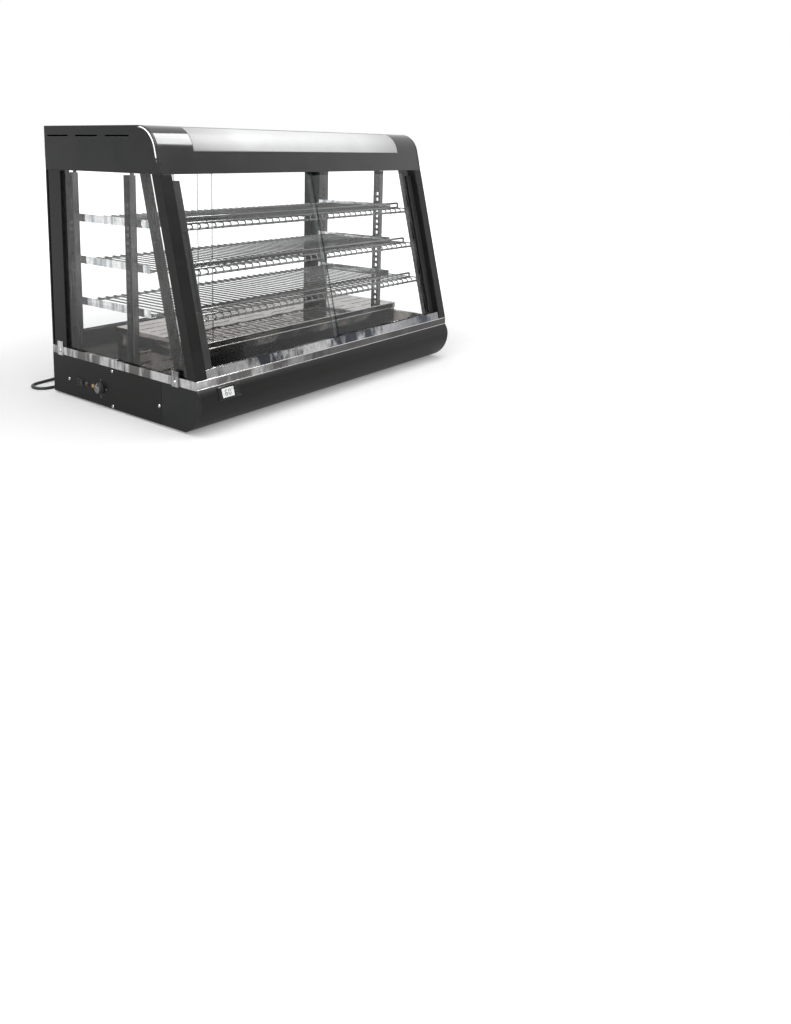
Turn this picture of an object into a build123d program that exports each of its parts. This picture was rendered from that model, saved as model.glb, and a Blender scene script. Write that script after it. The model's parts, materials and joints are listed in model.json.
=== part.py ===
from build123d import *
import os
from math import asin, atan, cos, degrees, dist, hypot, pi, radians, sin, sqrt, tan

# Heated display case. Millimetres, +X right along the front, -Y towards the customer, +Z up.
# The origin is on the table, under the middle of the case.

# Overall sizes
width = 900.0
body_depth = 485.0
front_bulge = 10.0
foot_height = 5.5
flange_drop = 1.5
base_height = 90.0
trim_height = 18.0
glass_height = 394.0
canopy_height = 94.0
front_lean = 96.0

# Sheet, glass and clearances
sheet = 1.5
skin = 1.5
cap_wall = 2.5
glass = 5.0
gap = 0.3
slip = 0.5

# Base
bulge_drop = 26.0
toe_setback = 34.0
toe_lip = 16.0
pan_setback = 3.0
flange = 12.0
cap_width = 6.0
cap_length = 105.0
trim_flange = 8.0
foot_radius = 16.0
foot_inset = 55.0
rear_vent_middle = 160.0
rear_vent_pitch = 9.0
rear_vent_side = 6
rear_vent_width = 3.0
rear_vent_low = 30.0
rear_vent_high = 70.0

# Posts and inner steel
post_face = 29.0
post_side = 26.0
post_wall = 2.0
rear_post_face = 24.0
rear_post_side = 45.0
rear_post_back = 10.0
rear_lip = 5.0
lip_groove = 10.0
strip_back = 38.0
strip_width = 32.0
upright_width = 22.0
upright_depth = 14.0
upright_top_gap = 5.0
upright_tab = 6.0
upright_inset = 8.0
rear_upright_back = 55.5
mid_upright_back = 254.0
slot_width = 12.0
slot_height = 8.0
slot_pitch = 15.4
slot_count = 20
first_slot_drop = 68.0
shelf_slots = (2, 8, 14)

# Shelves
bar_height = 17.0
bar_flange = 15.0
bar_nose = 38.0
ear_width = 9.0
ear_height = 5.0
ear_lift = 8.2
ear_reach = 4.5
rod = 5.0
wire = 3.0
weld = 0.5
wire_count = 39
lip_drop = 12.0
lip_bend = 5.0
shelf_setback = 49.0
rail_height = 15.0
rail_bend = 4.0
rail_inset = 32.0

# Door tracks and doors
track_pitch = 11.0
track_fin = 1.5
track_first_fin = 2.0
track_floor_low = 3.0
track_floor = 2.0
track_depth = 14.0
door_thick = 8.0
edge_width = 20.0
edge_bite = 11.0
front_lap = 2.0
rear_lap = 20.0
glide_length = 40.0
glide_inset = 60.0
door_top_bite = 24.0
sill_height = 28.0
rear_track_back = 8.0
grip_width = 10.0
grip_depth = 2.5

# Canopy
canopy_radius = 55.0
vent_height = 3.0
vent_length = 76.0
vent_pitch = 103.0
vent_drop = 21.0
vent_first = 50.0
sign_half = 354.0
sign_foot = 45.0
sign_back = 100.0
sign_flange = 8.0
sign_thick = 2.0
lamp_radius = 8.0
lamp_half = 300.0
holder_size = 24.0
holder_rim = 2.0
canopy_vent_pitch = 12.0
canopy_vent_side = 10
canopy_vent_width = 4.0
canopy_vent_height = 36.0

# Heater box, element and water pan
box_half = 355.0
box_front = 102.0
box_back = 377.0
box_height = 58.0
cover_rim = 14.0
cover_slot = 3.5
cover_slot_length = 90.0
cover_rows = 7
cover_columns = 6
element_radius = 4.0
element_half = 300.0
element_spread = 42.0
element_lift = 11.0
element_tail = 18.0
pan_half = 250.0
pan_width = 190.0
pan_height = 22.0
pan_wall = 1.0
pan_lip = 6.0
pan_lift = 17.0
rest_width = 12.0

# Controls on the left side panel and the base front
knob_radius = 13.5
knob_length = 9.0
knob_pointer = 3.0
knob_edge = 1.5
knob_lift = 1.0
shaft_radius = 3.0
running = 0.05
thermostat_radius = 16.0
thermostat_length = 24.0
control_z = 42.0
knob_back = 177.0
amber_back = 150.5
red_back = 127.0
switch_back = 103.0
lamp_lens = 4.0
lamp_bezel = 6.0
lamp_depth = 16.0
lamp_nut = 3.0
switch_length = 23.0
switch_width = 15.0
switch_depth = 20.0
switch_rim = 3.0
rocker_tilt = 7.0
rocker_lift = 1.5
pivot_depth = 1.5
pivot_radius = 1.0
pivot_reach = 1.0
meter_inset = 79.5
meter_z = 79.0
meter_length = 61.0
meter_height = 27.0
meter_bezel = 3.0
meter_depth = 16.0
window_length = 32.0
window_height = 19.0
window_shift = -4.0
window_thick = 1.0

# Fasteners and clips
screw_head = 3.6
screw_head_height = 1.8
screw_radius = 1.7
screw_length = 7.0
rear_screw_inset = 61.0
screw_edge = 0.6
middle_screw_inset = 219.0
clip_width = 20.0
clip_thick = 2.0
clip_top = 12.0
front_clip_back = 61.0
rear_clip_back = 453.0

# Mains cord, its gland, tie and plug
cord = 7.0
floor_clear = 0.05
gland_inset = 105.0
gland_z = 26.0
first_run = 20.0
coil_approach = 46.0
gland_radius = 11.0
gland_flange = 3.0
boot_length = 27.0
boot_radius = 7.0
coil_side = 95.0
coil_back = 70.5
coil_across = 11.0
coil_turns = 2.25
coil_gap = 0.5
coil_lead = 30.0
plug_length = 42.0
plug_width = 34.0
plug_height = 21.9
plug_boot = 18.0
pin_radius = 2.4
pin_length = 19.0
pin_spread = 9.5
tie_width = 8.0
tie_gap = 0.8
tie_thick = 1.2

# Heights and depths that follow
half = width / 2
front_y = (front_bulge - body_depth) / 2
rear_y = front_y + body_depth
base_bottom = foot_height - flange_drop
base_top = base_bottom + base_height
deck_top = base_top + sheet
trim_top = base_top + trim_height
canopy_bottom = trim_top + glass_height
case_top = canopy_bottom + canopy_height
slope = front_lean / glass_height
lean = degrees(atan(slope))
slant_length = hypot(front_lean, glass_height)
bulge_z = base_top - bulge_drop
upper_radius = (front_bulge**2 + bulge_drop**2) / (2 * front_bulge)
lower_drop = bulge_z - base_bottom
toe_run = toe_setback + front_bulge
lower_radius = (toe_run**2 + lower_drop**2) / (2 * toe_run)
cap_inner = half - cap_width
post_inner = half - post_face
rear_post_inner = half - rear_post_face
rear_post_front = rear_y - rear_post_back - rear_post_side
glass_outer = half - sheet
glass_inner = glass_outer - glass
upright_outer = glass_inner - sheet - upright_inset
upright_inner = upright_outer - upright_depth
bar_inner = upright_inner - sheet


def slab(x, y, z):
    """A box between two values on each axis."""
    size = Box(x[1] - x[0], y[1] - y[0], z[1] - z[0])
    return Pos((x[0] + x[1]) / 2, (y[0] + y[1]) / 2, (z[0] + z[1]) / 2) * size


def drum(radius, length, at, axis):
    """A cylinder that starts at a point and runs along an axis."""
    return extrude(Plane(origin=at, z_dir=axis) * Circle(radius), amount=length)


def side_profile(edges, x):
    """A closed outline in the side view, run from one x to another."""
    face = Plane.YZ * make_face(edges)
    return Pos(x[0], 0, 0) * extrude(face, amount=x[1] - x[0], dir=(1, 0, 0))


def side_polygon(points, x):
    return side_profile(Polyline(*points, close=True), x)


def opposite(shape):
    """The same piece for the other end of the case."""
    return mirror(shape, about=Plane.YZ)


def front_line(z):
    """Depth of the leaning front at a height."""
    return front_y + slope * (z - trim_top)


def leaning_band(inner, outer, z, x):
    """A bar that leans like the front, between two distances behind it."""
    low, high = z
    points = [
        (front_line(low) + inner, low),
        (front_line(low) + outer, low),
        (front_line(high) + outer, high),
        (front_line(high) + inner, high),
    ]
    return side_polygon(points, x)


def leaning(shape):
    """Turns a piece built upright, with its foot at zero, into the leaning front."""
    return Pos(0, front_y, trim_top) * Rot(-lean, 0, 0) * shape


def bulge_y(z, inset=0.0):
    radius = upper_radius if z > bulge_z else lower_radius
    centre = front_y - front_bulge + radius
    return centre - sqrt((radius - inset) ** 2 - (z - bulge_z) ** 2)


def bulge_edges(top_z, bottom_z, inset=0.0):
    """The swelling front of the base, from its top edge down to its toe."""
    full = (front_y - front_bulge + inset, bulge_z)
    start = (bulge_y(top_z, inset), top_z)
    end = (bulge_y(bottom_z, inset), bottom_z)
    upper_z = (top_z + bulge_z) / 2
    lower_z = (bottom_z + bulge_z) / 2
    upper = ThreePointArc(start, (bulge_y(upper_z, inset), upper_z), full)
    lower = ThreePointArc(full, (bulge_y(lower_z, inset), lower_z), end)
    return [upper, lower], start, end


def base_front_panel():
    outer, top_out, toe_out = bulge_edges(base_top, base_bottom)
    inner, top_in, toe_in = bulge_edges(base_top - skin, base_bottom + skin, skin)
    lip_y = toe_out[0] + toe_lip
    flange_y = front_y + flange
    edges = [
        *outer,
        Polyline(toe_out, (lip_y, base_bottom), (lip_y, base_bottom + skin), toe_in),
        *inner,
        Polyline(top_in, (flange_y, base_top - skin), (flange_y, base_top), top_out),
    ]
    panel = side_profile(edges, (-cap_inner, cap_inner))
    return panel - meter_place() * (meter_cutout() + meter_seat())


def corner_cap():
    seam = front_y + cap_length
    outer, top_out, toe_out = bulge_edges(base_top, base_bottom)
    rim = Polyline(toe_out, (seam, base_bottom), (seam, base_top), top_out)
    body = side_profile([*outer, rim], (-half, -cap_inner))
    low, high = base_bottom + cap_wall, base_top - cap_wall
    inner, top_in, toe_in = bulge_edges(high, low, cap_wall)
    back = Polyline(toe_in, (seam, low), (seam, high), top_in)
    return body - side_profile([*inner, back], (-half + cap_wall, -cap_inner))


def base_side():
    """Folded side panel: a web with an inward flange at the top and the bottom."""
    y = (front_y + cap_length, rear_y - sheet)
    panel = slab((-half, -half + sheet), y, (base_bottom, base_top))
    for z in ((base_bottom, base_bottom + skin), (base_top - sheet, base_top)):
        panel += slab((-half, -half + flange), y, z)
    for y_back, z in screw_places():
        panel -= drum(screw_radius, sheet * 2, (-half - gap, front_y + y_back, z), (1, 0, 0))
    return panel


def base_side_left():
    panel = base_side()
    panel -= drum(shaft_radius + slip, 3 * sheet, (-half - sheet, knob_y, control_z), (1, 0, 0))
    for y in (amber_y, red_y):
        panel -= drum(lamp_lens + slip / 2, 3 * sheet, (-half - sheet, y, control_z), (1, 0, 0))
    y = (switch_y - switch_length / 2 + sheet, switch_y + switch_length / 2 - sheet)
    z = (control_z - switch_width / 2 + sheet, control_z + switch_width / 2 - sheet)
    return panel - slab((-half - sheet, -half + 2 * sheet), y, z)


def base_rear_panel():
    panel = slab((-half, half), (rear_y - sheet, rear_y), (base_bottom, base_top))
    panel -= drum(gland_radius - gland_flange, 3 * sheet, (gland_x, rear_y + sheet, gland_z), (0, -1, 0))
    z = (rear_vent_low, rear_vent_high)
    for column in range(-rear_vent_side, rear_vent_side + 1):
        middle = rear_vent_middle + column * rear_vent_pitch
        x = (middle - rear_vent_width / 2, middle + rear_vent_width / 2)
        panel -= slab(x, (rear_y - 2 * sheet, rear_y + sheet), z)
    return panel


def base_pan():
    """Bottom plate, lying on the flanges of the side panels and on the lip of the front."""
    z = (base_bottom + skin, base_bottom + skin + sheet)
    seam = front_y + cap_length + gap
    wide = half - sheet - gap
    plate = slab((-wide, wide), (seam, rear_y - sheet), z)
    front = front_y + toe_setback + pan_setback
    return plate + slab((gap - cap_inner, cap_inner - gap), (front, seam), z)


def deck_plate():
    x = (-half + sheet, half - sheet)
    return slab(x, (front_y + sheet, rear_y), (base_top, deck_top))


def steel_trim():
    """Bright strips round the foot of the glass, mitred at the two front corners."""
    reach = trim_flange * 2
    front_plan = Polyline(
        (-half, front_y), (half, front_y), (half - reach, front_y + reach),
        (-half + reach, front_y + reach), close=True)
    side_plan = Polyline(
        (-half, front_y), (-half + reach, front_y + reach), (-half + reach, rear_y),
        (-half, rear_y), close=True)
    top = (trim_top - sheet, trim_top)
    front = slab((-half, half), (front_y, front_y + sheet), (base_top, trim_top))
    front += slab((-half, half), (front_y, front_y + trim_flange), top)
    side = slab((-half, -half + sheet), (front_y, rear_y), (base_top, trim_top))
    side += slab((-half, -half + trim_flange), (front_y, rear_y), top)
    low = Pos(0, 0, base_top - gap)
    height = trim_height + 2 * gap
    front = front & (low * extrude(make_face(front_plan), amount=height, dir=(0, 0, 1)))
    side = side & (low * extrude(make_face(side_plan), amount=height, dir=(0, 0, 1)))
    return [front, side, opposite(side)]


def front_post():
    """Hollow black post that leans with the front and stands on the trim."""
    z = (trim_top, canopy_bottom)
    body = leaning_band(0, post_side, z, (-half, -post_inner))
    wall = post_wall / cos(radians(lean))
    x = (-half + post_wall, -post_inner - post_wall)
    return body - leaning_band(wall, post_side - wall, z, x)


def rear_post():
    back = rear_post_front + rear_post_side
    z = (trim_top, canopy_bottom)
    post = slab((-half, -rear_post_inner), (rear_post_front, rear_y), z)
    groove = slab((-half, -half + lip_groove), (back, rear_y - rear_lip), z)
    inner_x = (-half + post_wall, -rear_post_inner - post_wall)
    core = slab(inner_x, (rear_post_front + post_wall, back - post_wall), z)
    return post - groove - core


def side_glass():
    low, high = trim_top, canopy_bottom
    points = [
        (front_line(low) + post_side, low),
        (rear_post_front, low),
        (rear_post_front, high),
        (front_line(high) + post_side, high),
    ]
    return side_polygon(points, (-glass_outer, -glass_inner))


def slanted_strip():
    """Brushed steel strip on the inner face of the side glass, beside the front post."""
    z = (trim_top, canopy_bottom)
    x = (-glass_inner, -glass_inner + sheet)
    return leaning_band(strip_back, strip_back + strip_width, z, x)


def upright(back):
    """Slotted channel, open towards the glass, standing on the deck."""
    high = canopy_bottom - upright_top_gap
    y = (back - upright_width, back)
    x = (-upright_outer, -upright_inner)
    channel = slab(x, y, (deck_top, high))
    hollow_y = (y[0] + sheet, y[1] - sheet)
    channel -= slab((x[0] - sheet, x[1] - sheet), hollow_y, (deck_top - sheet, high + sheet))
    middle = (y[0] + y[1]) / 2
    tab = (middle - upright_tab, middle + upright_tab)
    channel += slab((x[1] - sheet, x[1]), tab, (high, canopy_bottom))
    slots = [
        slab((x[1] - 2 * sheet, x[1] + sheet), (middle - slot_width / 2, middle + slot_width / 2),
             (slot_z(n) - slot_height / 2, slot_z(n) + slot_height / 2))
        for n in range(slot_count)
    ]
    return channel - slots


def slot_z(number):
    return canopy_bottom - first_slot_drop - number * slot_pitch


def bar_z(slot):
    """Underside of the shelf bar that hangs in a slot."""
    return slot_z(slot) - slot_height / 2 - ear_lift


def support_bar(slot):
    """Flat bar with an inward flange, hooked through one slot of each upright."""
    low = bar_z(slot)
    back, front = rear_upright_y, mid_upright_y - upright_width - bar_nose
    bar = slab((-upright_inner, -bar_inner), (front, back), (low, low + bar_height))
    bar += slab((-upright_inner, -upright_inner + bar_flange), (front, back), (low, low + sheet))
    foot = slot_z(slot) - slot_height / 2
    for upright_back in (rear_upright_y, mid_upright_y):
        middle = upright_back - upright_width / 2
        ear_y = (middle - ear_width / 2, middle + ear_width / 2)
        bar += slab((-upright_inner - ear_reach, -bar_inner), ear_y, (foot, foot + ear_height))
    return bar


def wire_plane(slot):
    """Height of the middle of the shelf wires."""
    return bar_z(slot) + sheet + rod + wire / 2 - weld


def shelf_front(slot):
    return front_line(wire_plane(slot)) + shelf_setback


def shelf_wire(slot):
    """One wire, bent down over the front of the shelf."""
    z, front = wire_plane(slot), shelf_front(slot)
    back = rear_upright_y - upright_width / 2
    start = (0, back, z)
    points = [start, (0, front, z), (0, front, z - lip_drop)]
    path = FilletPolyline(*points, radius=lip_bend)
    return sweep(Plane(origin=start, z_dir=(0, -1, 0)) * Circle(wire / 2), path=path)


def shelf_rail(slot):
    """Raised rail along the front of the shelf, with its ends bent down to it."""
    reach = bar_inner - rail_inset
    high = wire_plane(slot) + rail_height
    low = wire_plane(slot) + wire / 2 + rod / 2 - weld
    y = shelf_front(slot) + rod
    frame = Plane(origin=(0, y, (low + high) / 2), x_dir=(1, 0, 0), z_dir=(0, -1, 0))
    path = (frame * RectangleRounded(2 * reach, high - low, rail_bend)).wire()
    section = Plane(origin=path.position_at(0), z_dir=path.tangent_at(0)) * Circle(rod / 2)
    return sweep(section, path=path)


def wire_shelf(slot):
    reach = bar_inner - 2 * slip
    pitch = 2 * (reach - wire) / (wire_count - 1)
    first = shelf_wire(slot)
    pieces = [Pos(n * pitch - reach + wire, 0, 0) * first for n in range(wire_count)]
    rod_z = wire_plane(slot) - wire / 2 - rod / 2 + weld
    back = rear_upright_y - upright_width / 2 - rod
    bar_front = mid_upright_y - upright_width - bar_nose + rod
    places = [(back, rod_z), (bar_front, rod_z)]
    places.append((shelf_front(slot) + wire / 2 + rod / 2 - weld, wire_plane(slot) - lip_drop + rod / 2))
    rods = [drum(rod / 2, 2 * reach, (-reach, y, z), (1, 0, 0)) for y, z in places]
    grid = rods[0].fuse(*rods[1:], *pieces, shelf_rail(slot))
    return grid


def fin_starts():
    return [track_first_fin + n * track_pitch for n in range(3)]


def lane_middle(lane):
    """Middle of a door's lane, measured back from the front of its track."""
    return track_first_fin + track_fin / 2 + (lane + 0.5) * track_pitch


def lane_fins(x, z):
    return [slab(x, (start, start + track_fin), z) for start in fin_starts()]


def track_width():
    return track_first_fin + 2 * track_pitch + track_fin


def front_bottom_track():
    """Two-lane track that leans with the doors, on a wedge that fills down to the trim."""
    x = (-post_inner + gap, post_inner - gap)
    floor = track_floor_low + track_floor
    track = slab(x, (track_first_fin, track_width()), (track_floor_low, floor))
    for fin in lane_fins(x, (track_floor_low, floor + track_depth)):
        track += fin
    wedge = slab(x, (track_first_fin, track_width()), (-track_width(), floor))
    above = slab((-half, half), (front_y, rear_y), (deck_top, canopy_bottom))
    trim_reach = front_y + trim_flange + gap
    trim = slab((-half, half), (front_y - trim_flange, trim_reach), (deck_top - trim_flange, trim_top))
    return (leaning(track + wedge) & above) - trim


def front_top_track():
    """Two-lane track up behind the skirt of the canopy, leaning with the doors."""
    x = (-post_inner + gap, post_inner - gap)
    high = slant_length + track_depth
    track = slab(x, (track_first_fin, track_width()), (high, high + track_floor))
    for fin in lane_fins(x, (slant_length, high)):
        track += fin
    above = slab((-half, half), (front_y, rear_y), (canopy_bottom, case_top))
    return leaning(track) & above


def rear_track_y():
    return rear_y - rear_track_back - track_width()


def rear_bottom_track():
    """Hollow sill across the back, with the rear doors' two lanes on top."""
    x = (-rear_post_inner + gap, rear_post_inner - gap)
    front = rear_track_y() - sheet
    sill_top = deck_top + sill_height
    sill = slab(x, (front, rear_y), (deck_top, sill_top))
    sill -= slab((x[0] - 1, x[1] + 1), (front + sheet, rear_y - sheet), (deck_top - 1, sill_top - sheet))
    back = Pos(0, rear_track_y(), 0)
    for fin in lane_fins(x, (sill_top, sill_top + track_depth)):
        sill += back * fin
    return sill


def rear_top_track():
    """Two-lane track up inside the back of the canopy."""
    x = (-rear_post_inner + gap, rear_post_inner - gap)
    high = canopy_bottom + track_depth
    back = track_width() + rear_track_back - sheet - gap
    track = slab(x, (track_first_fin, back), (high, high + track_floor))
    for fin in lane_fins(x, (canopy_bottom, high)):
        track += fin
    return Pos(0, rear_track_y(), 0) * track


def door(outer_x, low, high, lane, lap):
    """Left-hand door, upright: its glass, and its edge profile with two glides."""
    middle = lane_middle(lane)
    glass_y = (middle - glass / 2, middle + glass / 2)
    thick_y = (middle - door_thick / 2, middle + door_thick / 2)
    lift = glass
    edge = outer_x + edge_width
    pane = slab((edge - edge_bite, lap), glass_y, (low + lift, high))
    profile = slab((outer_x, edge), thick_y, (low + track_depth + gap, high - door_top_bite - slip))
    cut_low = low + track_depth - gap
    profile -= slab((edge - edge_bite, edge + gap), glass_y, (cut_low, high))
    grip_x = (outer_x + (edge_width - grip_width) / 2 - sheet, outer_x + (edge_width + grip_width) / 2 - sheet)
    grip_z = ((low + high) / 2 - 4 * edge_width, (low + high) / 2 + 4 * edge_width)
    profile -= slab(grip_x, (thick_y[0] - gap, thick_y[0] + grip_depth / 2), grip_z)
    glides = []
    for x in (edge + glide_inset, lap - glide_inset):
        span = (x - glide_length / 2, x + glide_length / 2)
        block = slab(span, thick_y, (low + gap, low + track_depth - slip))
        glides.append(block - slab((span[0] - gap, span[1] + gap), glass_y, (low + lift, high)))
    return pane, [profile, *glides]


def front_doors():
    """Left door in the front lane, right door in the lane behind it."""
    low = track_floor_low + track_floor
    high = slant_length + track_depth - 2 * slip
    edge = -post_inner + slip
    left_pane, left_edge = door(edge, low, high, 0, front_lap)
    right_pane, right_edge = door(edge, low, high, 1, front_lap)
    left = leaning(left_pane), [leaning(piece) for piece in left_edge]
    right = leaning(opposite(right_pane)), [leaning(opposite(piece)) for piece in right_edge]
    return left, right


def rear_doors():
    low = deck_top + sill_height
    high = canopy_bottom + track_depth - 2 * slip
    edge = -rear_post_inner + slip
    back = Pos(0, rear_track_y(), 0)
    left_pane, left_edge = door(edge, low, high, 0, rear_lap)
    right_pane, right_edge = door(edge, low, high, 1, rear_lap)
    left = back * left_pane, [back * piece for piece in left_edge]
    right = back * opposite(right_pane), [back * opposite(piece) for piece in right_edge]
    return left, right


def canopy_edges(low, inset, back):
    """Canopy section at an inset: up the leaning skirt, round the corner, back along the top."""
    tilt = radians(lean)
    radius = canopy_radius - inset
    centre_z = case_top - canopy_radius
    centre_y = front_line(centre_z) + canopy_radius / cos(tilt)
    foot = (front_line(low) + inset / cos(tilt), low)
    skirt = (centre_y - radius * cos(tilt), centre_z + radius * sin(tilt))
    turn = radians(135 - lean / 2)
    crown = (centre_y + radius * cos(turn), centre_z + radius * sin(turn))
    top = (centre_y, centre_z + radius)
    end = (back, case_top - inset)
    return [Line(foot, skirt), ThreePointArc(skirt, crown, top), Line(top, end)], foot, end


def canopy_band(outer_inset, inner_inset, x, back):
    """A bent sheet that follows the canopy section between two insets."""
    outer, foot_out, end_out = canopy_edges(canopy_bottom, outer_inset, back)
    inner, foot_in, end_in = canopy_edges(canopy_bottom, inner_inset, back)
    edges = [*outer, *inner, Line(foot_out, foot_in), Line(end_out, end_in)]
    return side_profile(edges, x)


def sign_box(grow):
    """The part of the canopy that the sign takes, in front of one depth and above one height."""
    y = (front_y - front_lean, front_y + front_lean + sign_back / 2 + grow)
    z = (canopy_bottom + sign_foot - grow, case_top + front_bulge)
    return slab((-sign_half - grow, sign_half + grow), y, z)


def canopy_shell():
    return canopy_band(0, sheet, (-cap_inner, cap_inner), rear_y) - sign_box(0)


def sign_panel():
    """Pale curved panel, let into the window of the shell and held by a flange behind it."""
    x = (-cap_inner, cap_inner)
    face = canopy_band(-slip, sheet, x, rear_y) & sign_box(-slip)
    back = canopy_band(sheet, sheet + sign_thick, x, rear_y) & sign_box(sign_flange)
    return face + back


def canopy_end():
    outer, foot, end = canopy_edges(canopy_bottom, 0, rear_y)
    rim = Polyline(end, (rear_y, canopy_bottom), foot)
    body = side_profile([*outer, rim], (-half, -cap_inner))
    low, back = canopy_bottom + cap_wall, rear_y - cap_wall
    inner, foot_in, end_in = canopy_edges(low, cap_wall, back)
    rim_in = Polyline(end_in, (back, low), foot_in)
    body -= side_profile([*inner, rim_in], (-half + cap_wall, -cap_inner))
    vent_z = case_top - vent_drop
    for n in range(3):
        back = rear_y - vent_first / 4 - n * vent_pitch
        y = (back - vent_length, back)
        body -= slab((-half - 1, -half + 2 * cap_wall), y, (vent_z - vent_height / 2, vent_z + vent_height / 2))
    return body


def canopy_ceiling():
    """Plate between the front and the rear top tracks."""
    front = front_line(canopy_bottom + sheet) + (track_width() + gap) / cos(radians(lean))
    back = rear_track_y() + track_first_fin - gap
    return slab((-cap_inner, cap_inner), (front, back), (canopy_bottom, canopy_bottom + sheet))


def canopy_rear_panel():
    x = (-cap_inner, cap_inner)
    panel = slab(x, (rear_y - sheet, rear_y), (canopy_bottom, case_top - sheet))
    middle = (canopy_bottom + case_top) / 2
    z = (middle - canopy_vent_height / 2, middle + canopy_vent_height / 2)
    for column in range(-canopy_vent_side, canopy_vent_side + 1):
        x_mid = column * canopy_vent_pitch
        x_slot = (x_mid - canopy_vent_width / 2, x_mid + canopy_vent_width / 2)
        panel -= slab(x_slot, (rear_y - 2 * sheet, rear_y + sheet), z)
    return panel


def sign_lamp():
    """Tube lamp behind the sign, between two holders that stand on the ceiling."""
    low = canopy_bottom + sheet
    y = front_line(low) + sign_back
    z = low + holder_size
    tube = drum(lamp_radius, 2 * lamp_half, (-lamp_half, y, z), (1, 0, 0))
    pieces = [tube]
    reach = lamp_radius + holder_rim
    for x in (-lamp_half - holder_size / 2, lamp_half):
        span = (x, x + holder_size / 2)
        pieces.append(slab(span, (y - reach, y + reach), (low, z + reach)))
    return pieces


def heater_housing():
    """Open steel box on the deck, round the element and the water pan."""
    top = deck_top + box_height - sheet
    y = (front_y + box_front + sheet, front_y + box_back - sheet)
    x = (-box_half + sheet, box_half - sheet)
    box = slab(x, y, (deck_top, top))
    inner_x = (x[0] + sheet, x[1] - sheet)
    box -= slab(inner_x, (y[0] + sheet, y[1] - sheet), (deck_top + sheet, top + 1))
    for side in (-1, 1):
        box -= drum(element_radius, 4 * sheet, (x[0] - sheet, box_mid + side * element_spread, element_z), (1, 0, 0))
    return box


def heater_cover():
    """Slotted lid with a short rim that fits over the box."""
    top = deck_top + box_height
    y = (front_y + box_front, front_y + box_back)
    cover = slab((-box_half, box_half), y, (top - cover_rim, top))
    inner_y = (y[0] + sheet, y[1] - sheet)
    cover -= slab((-box_half + sheet, box_half - sheet), inner_y, (top - cover_rim - 1, top - sheet))
    column_pitch = 2 * box_half / cover_columns
    row_pitch = (box_back - box_front) / (cover_rows + 1)
    slots = []
    for column in range(cover_columns):
        x = (column + 0.5) * column_pitch - box_half
        for row in range(cover_rows):
            y_mid = y[0] + (row + 1) * row_pitch
            x_span = (x - cover_slot_length / 2, x + cover_slot_length / 2)
            y_span = (y_mid - cover_slot / 2, y_mid + cover_slot / 2)
            slots.append(slab(x_span, y_span, (top - 2 * sheet, top + sheet)))
    return cover - slots


def heating_element():
    """Tubular heater: one long loop whose two tails leave through the left wall of the box."""
    tail = -box_half - element_tail
    near, far = box_mid - element_spread, box_mid + element_spread
    points = [(tail, near), (element_half, near), (element_half, far), (tail, far)]
    path = FilletPolyline(*[(x, y, element_z) for x, y in points], radius=element_spread * 0.6)
    section = Plane(origin=(tail, near, element_z), z_dir=(1, 0, 0)) * Circle(element_radius)
    return sweep(section, path=path)


def water_pan():
    """Shallow pan with a rim, and the two folded rests that hold it over the element."""
    low = deck_top + sheet + pan_lift
    x, y = (-pan_half, pan_half), (box_mid - pan_width / 2, box_mid + pan_width / 2)
    pan = slab(x, y, (low, low + pan_height))
    inner_y = (y[0] + pan_wall, y[1] - pan_wall)
    pan += slab((x[0] - pan_lip, x[1] + pan_lip), (y[0] - pan_lip, y[1] + pan_lip),
                (low + pan_height - pan_wall, low + pan_height))
    pan -= slab((x[0] + pan_wall, x[1] - pan_wall), inner_y, (low + pan_wall, low + pan_height + 1))
    pieces = [pan]
    deep = (box_back - box_front) / 2 - 2 * sheet
    for x_mid in (-pan_half * 0.6, pan_half * 0.6):
        span = (x_mid - rest_width / 2, x_mid + rest_width / 2)
        rest = slab(span, (box_mid - deep, box_mid + deep), (low - sheet, low))
        for side in (-1, 1):
            wall = box_mid + side * deep
            leg_y = (min(wall, wall - side * sheet), max(wall, wall - side * sheet))
            rest += slab(span, leg_y, (deck_top + sheet, low))
        pieces.append(rest)
    return pieces


def thermostat_body():
    front = -half + sheet
    at = (front, knob_y, control_z)
    body = drum(thermostat_radius, thermostat_length, at, (1, 0, 0))
    return body - drum(shaft_radius + running, thermostat_length * 0.6, at, (1, 0, 0))


def thermostat_knob():
    """Round knob with a raised pointer, on the shaft that turns in the thermostat."""
    face = -half - knob_lift
    knob = drum(knob_radius, knob_length, (face - knob_length, knob_y, control_z), (1, 0, 0))
    knob = chamfer(knob.faces().sort_by(Axis.X)[0].edges(), knob_edge)
    half_pointer = knob_pointer / 2
    pointer = slab((face - knob_length / 2, face), (knob_y - half_pointer, knob_y + half_pointer),
                   (control_z, control_z + knob_radius + half_pointer))
    reach = -half + sheet + thermostat_length * 0.5
    shaft = drum(shaft_radius, reach - face, (face, knob_y, control_z), (1, 0, 0))
    return knob + pointer + shaft


def pilot_lamp(y):
    at = (-half, y, control_z)
    bezel = drum(lamp_bezel, sheet, at, (-1, 0, 0))
    lens = drum(lamp_lens, 2 * sheet, (at[0] - sheet, y, control_z), (-1, 0, 0))
    body = drum(lamp_lens, lamp_depth, at, (1, 0, 0))
    nut = drum(lamp_bezel, lamp_nut, (-half + sheet, y, control_z), (1, 0, 0))
    return bezel + lens + body + nut


def switch_pocket():
    """Space that the rocker swings in."""
    y = (switch_y - switch_length / 2 + switch_rim, switch_y + switch_length / 2 - switch_rim)
    z = (control_z - switch_width / 2 + switch_rim, control_z + switch_width / 2 - switch_rim)
    return y, z


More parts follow.
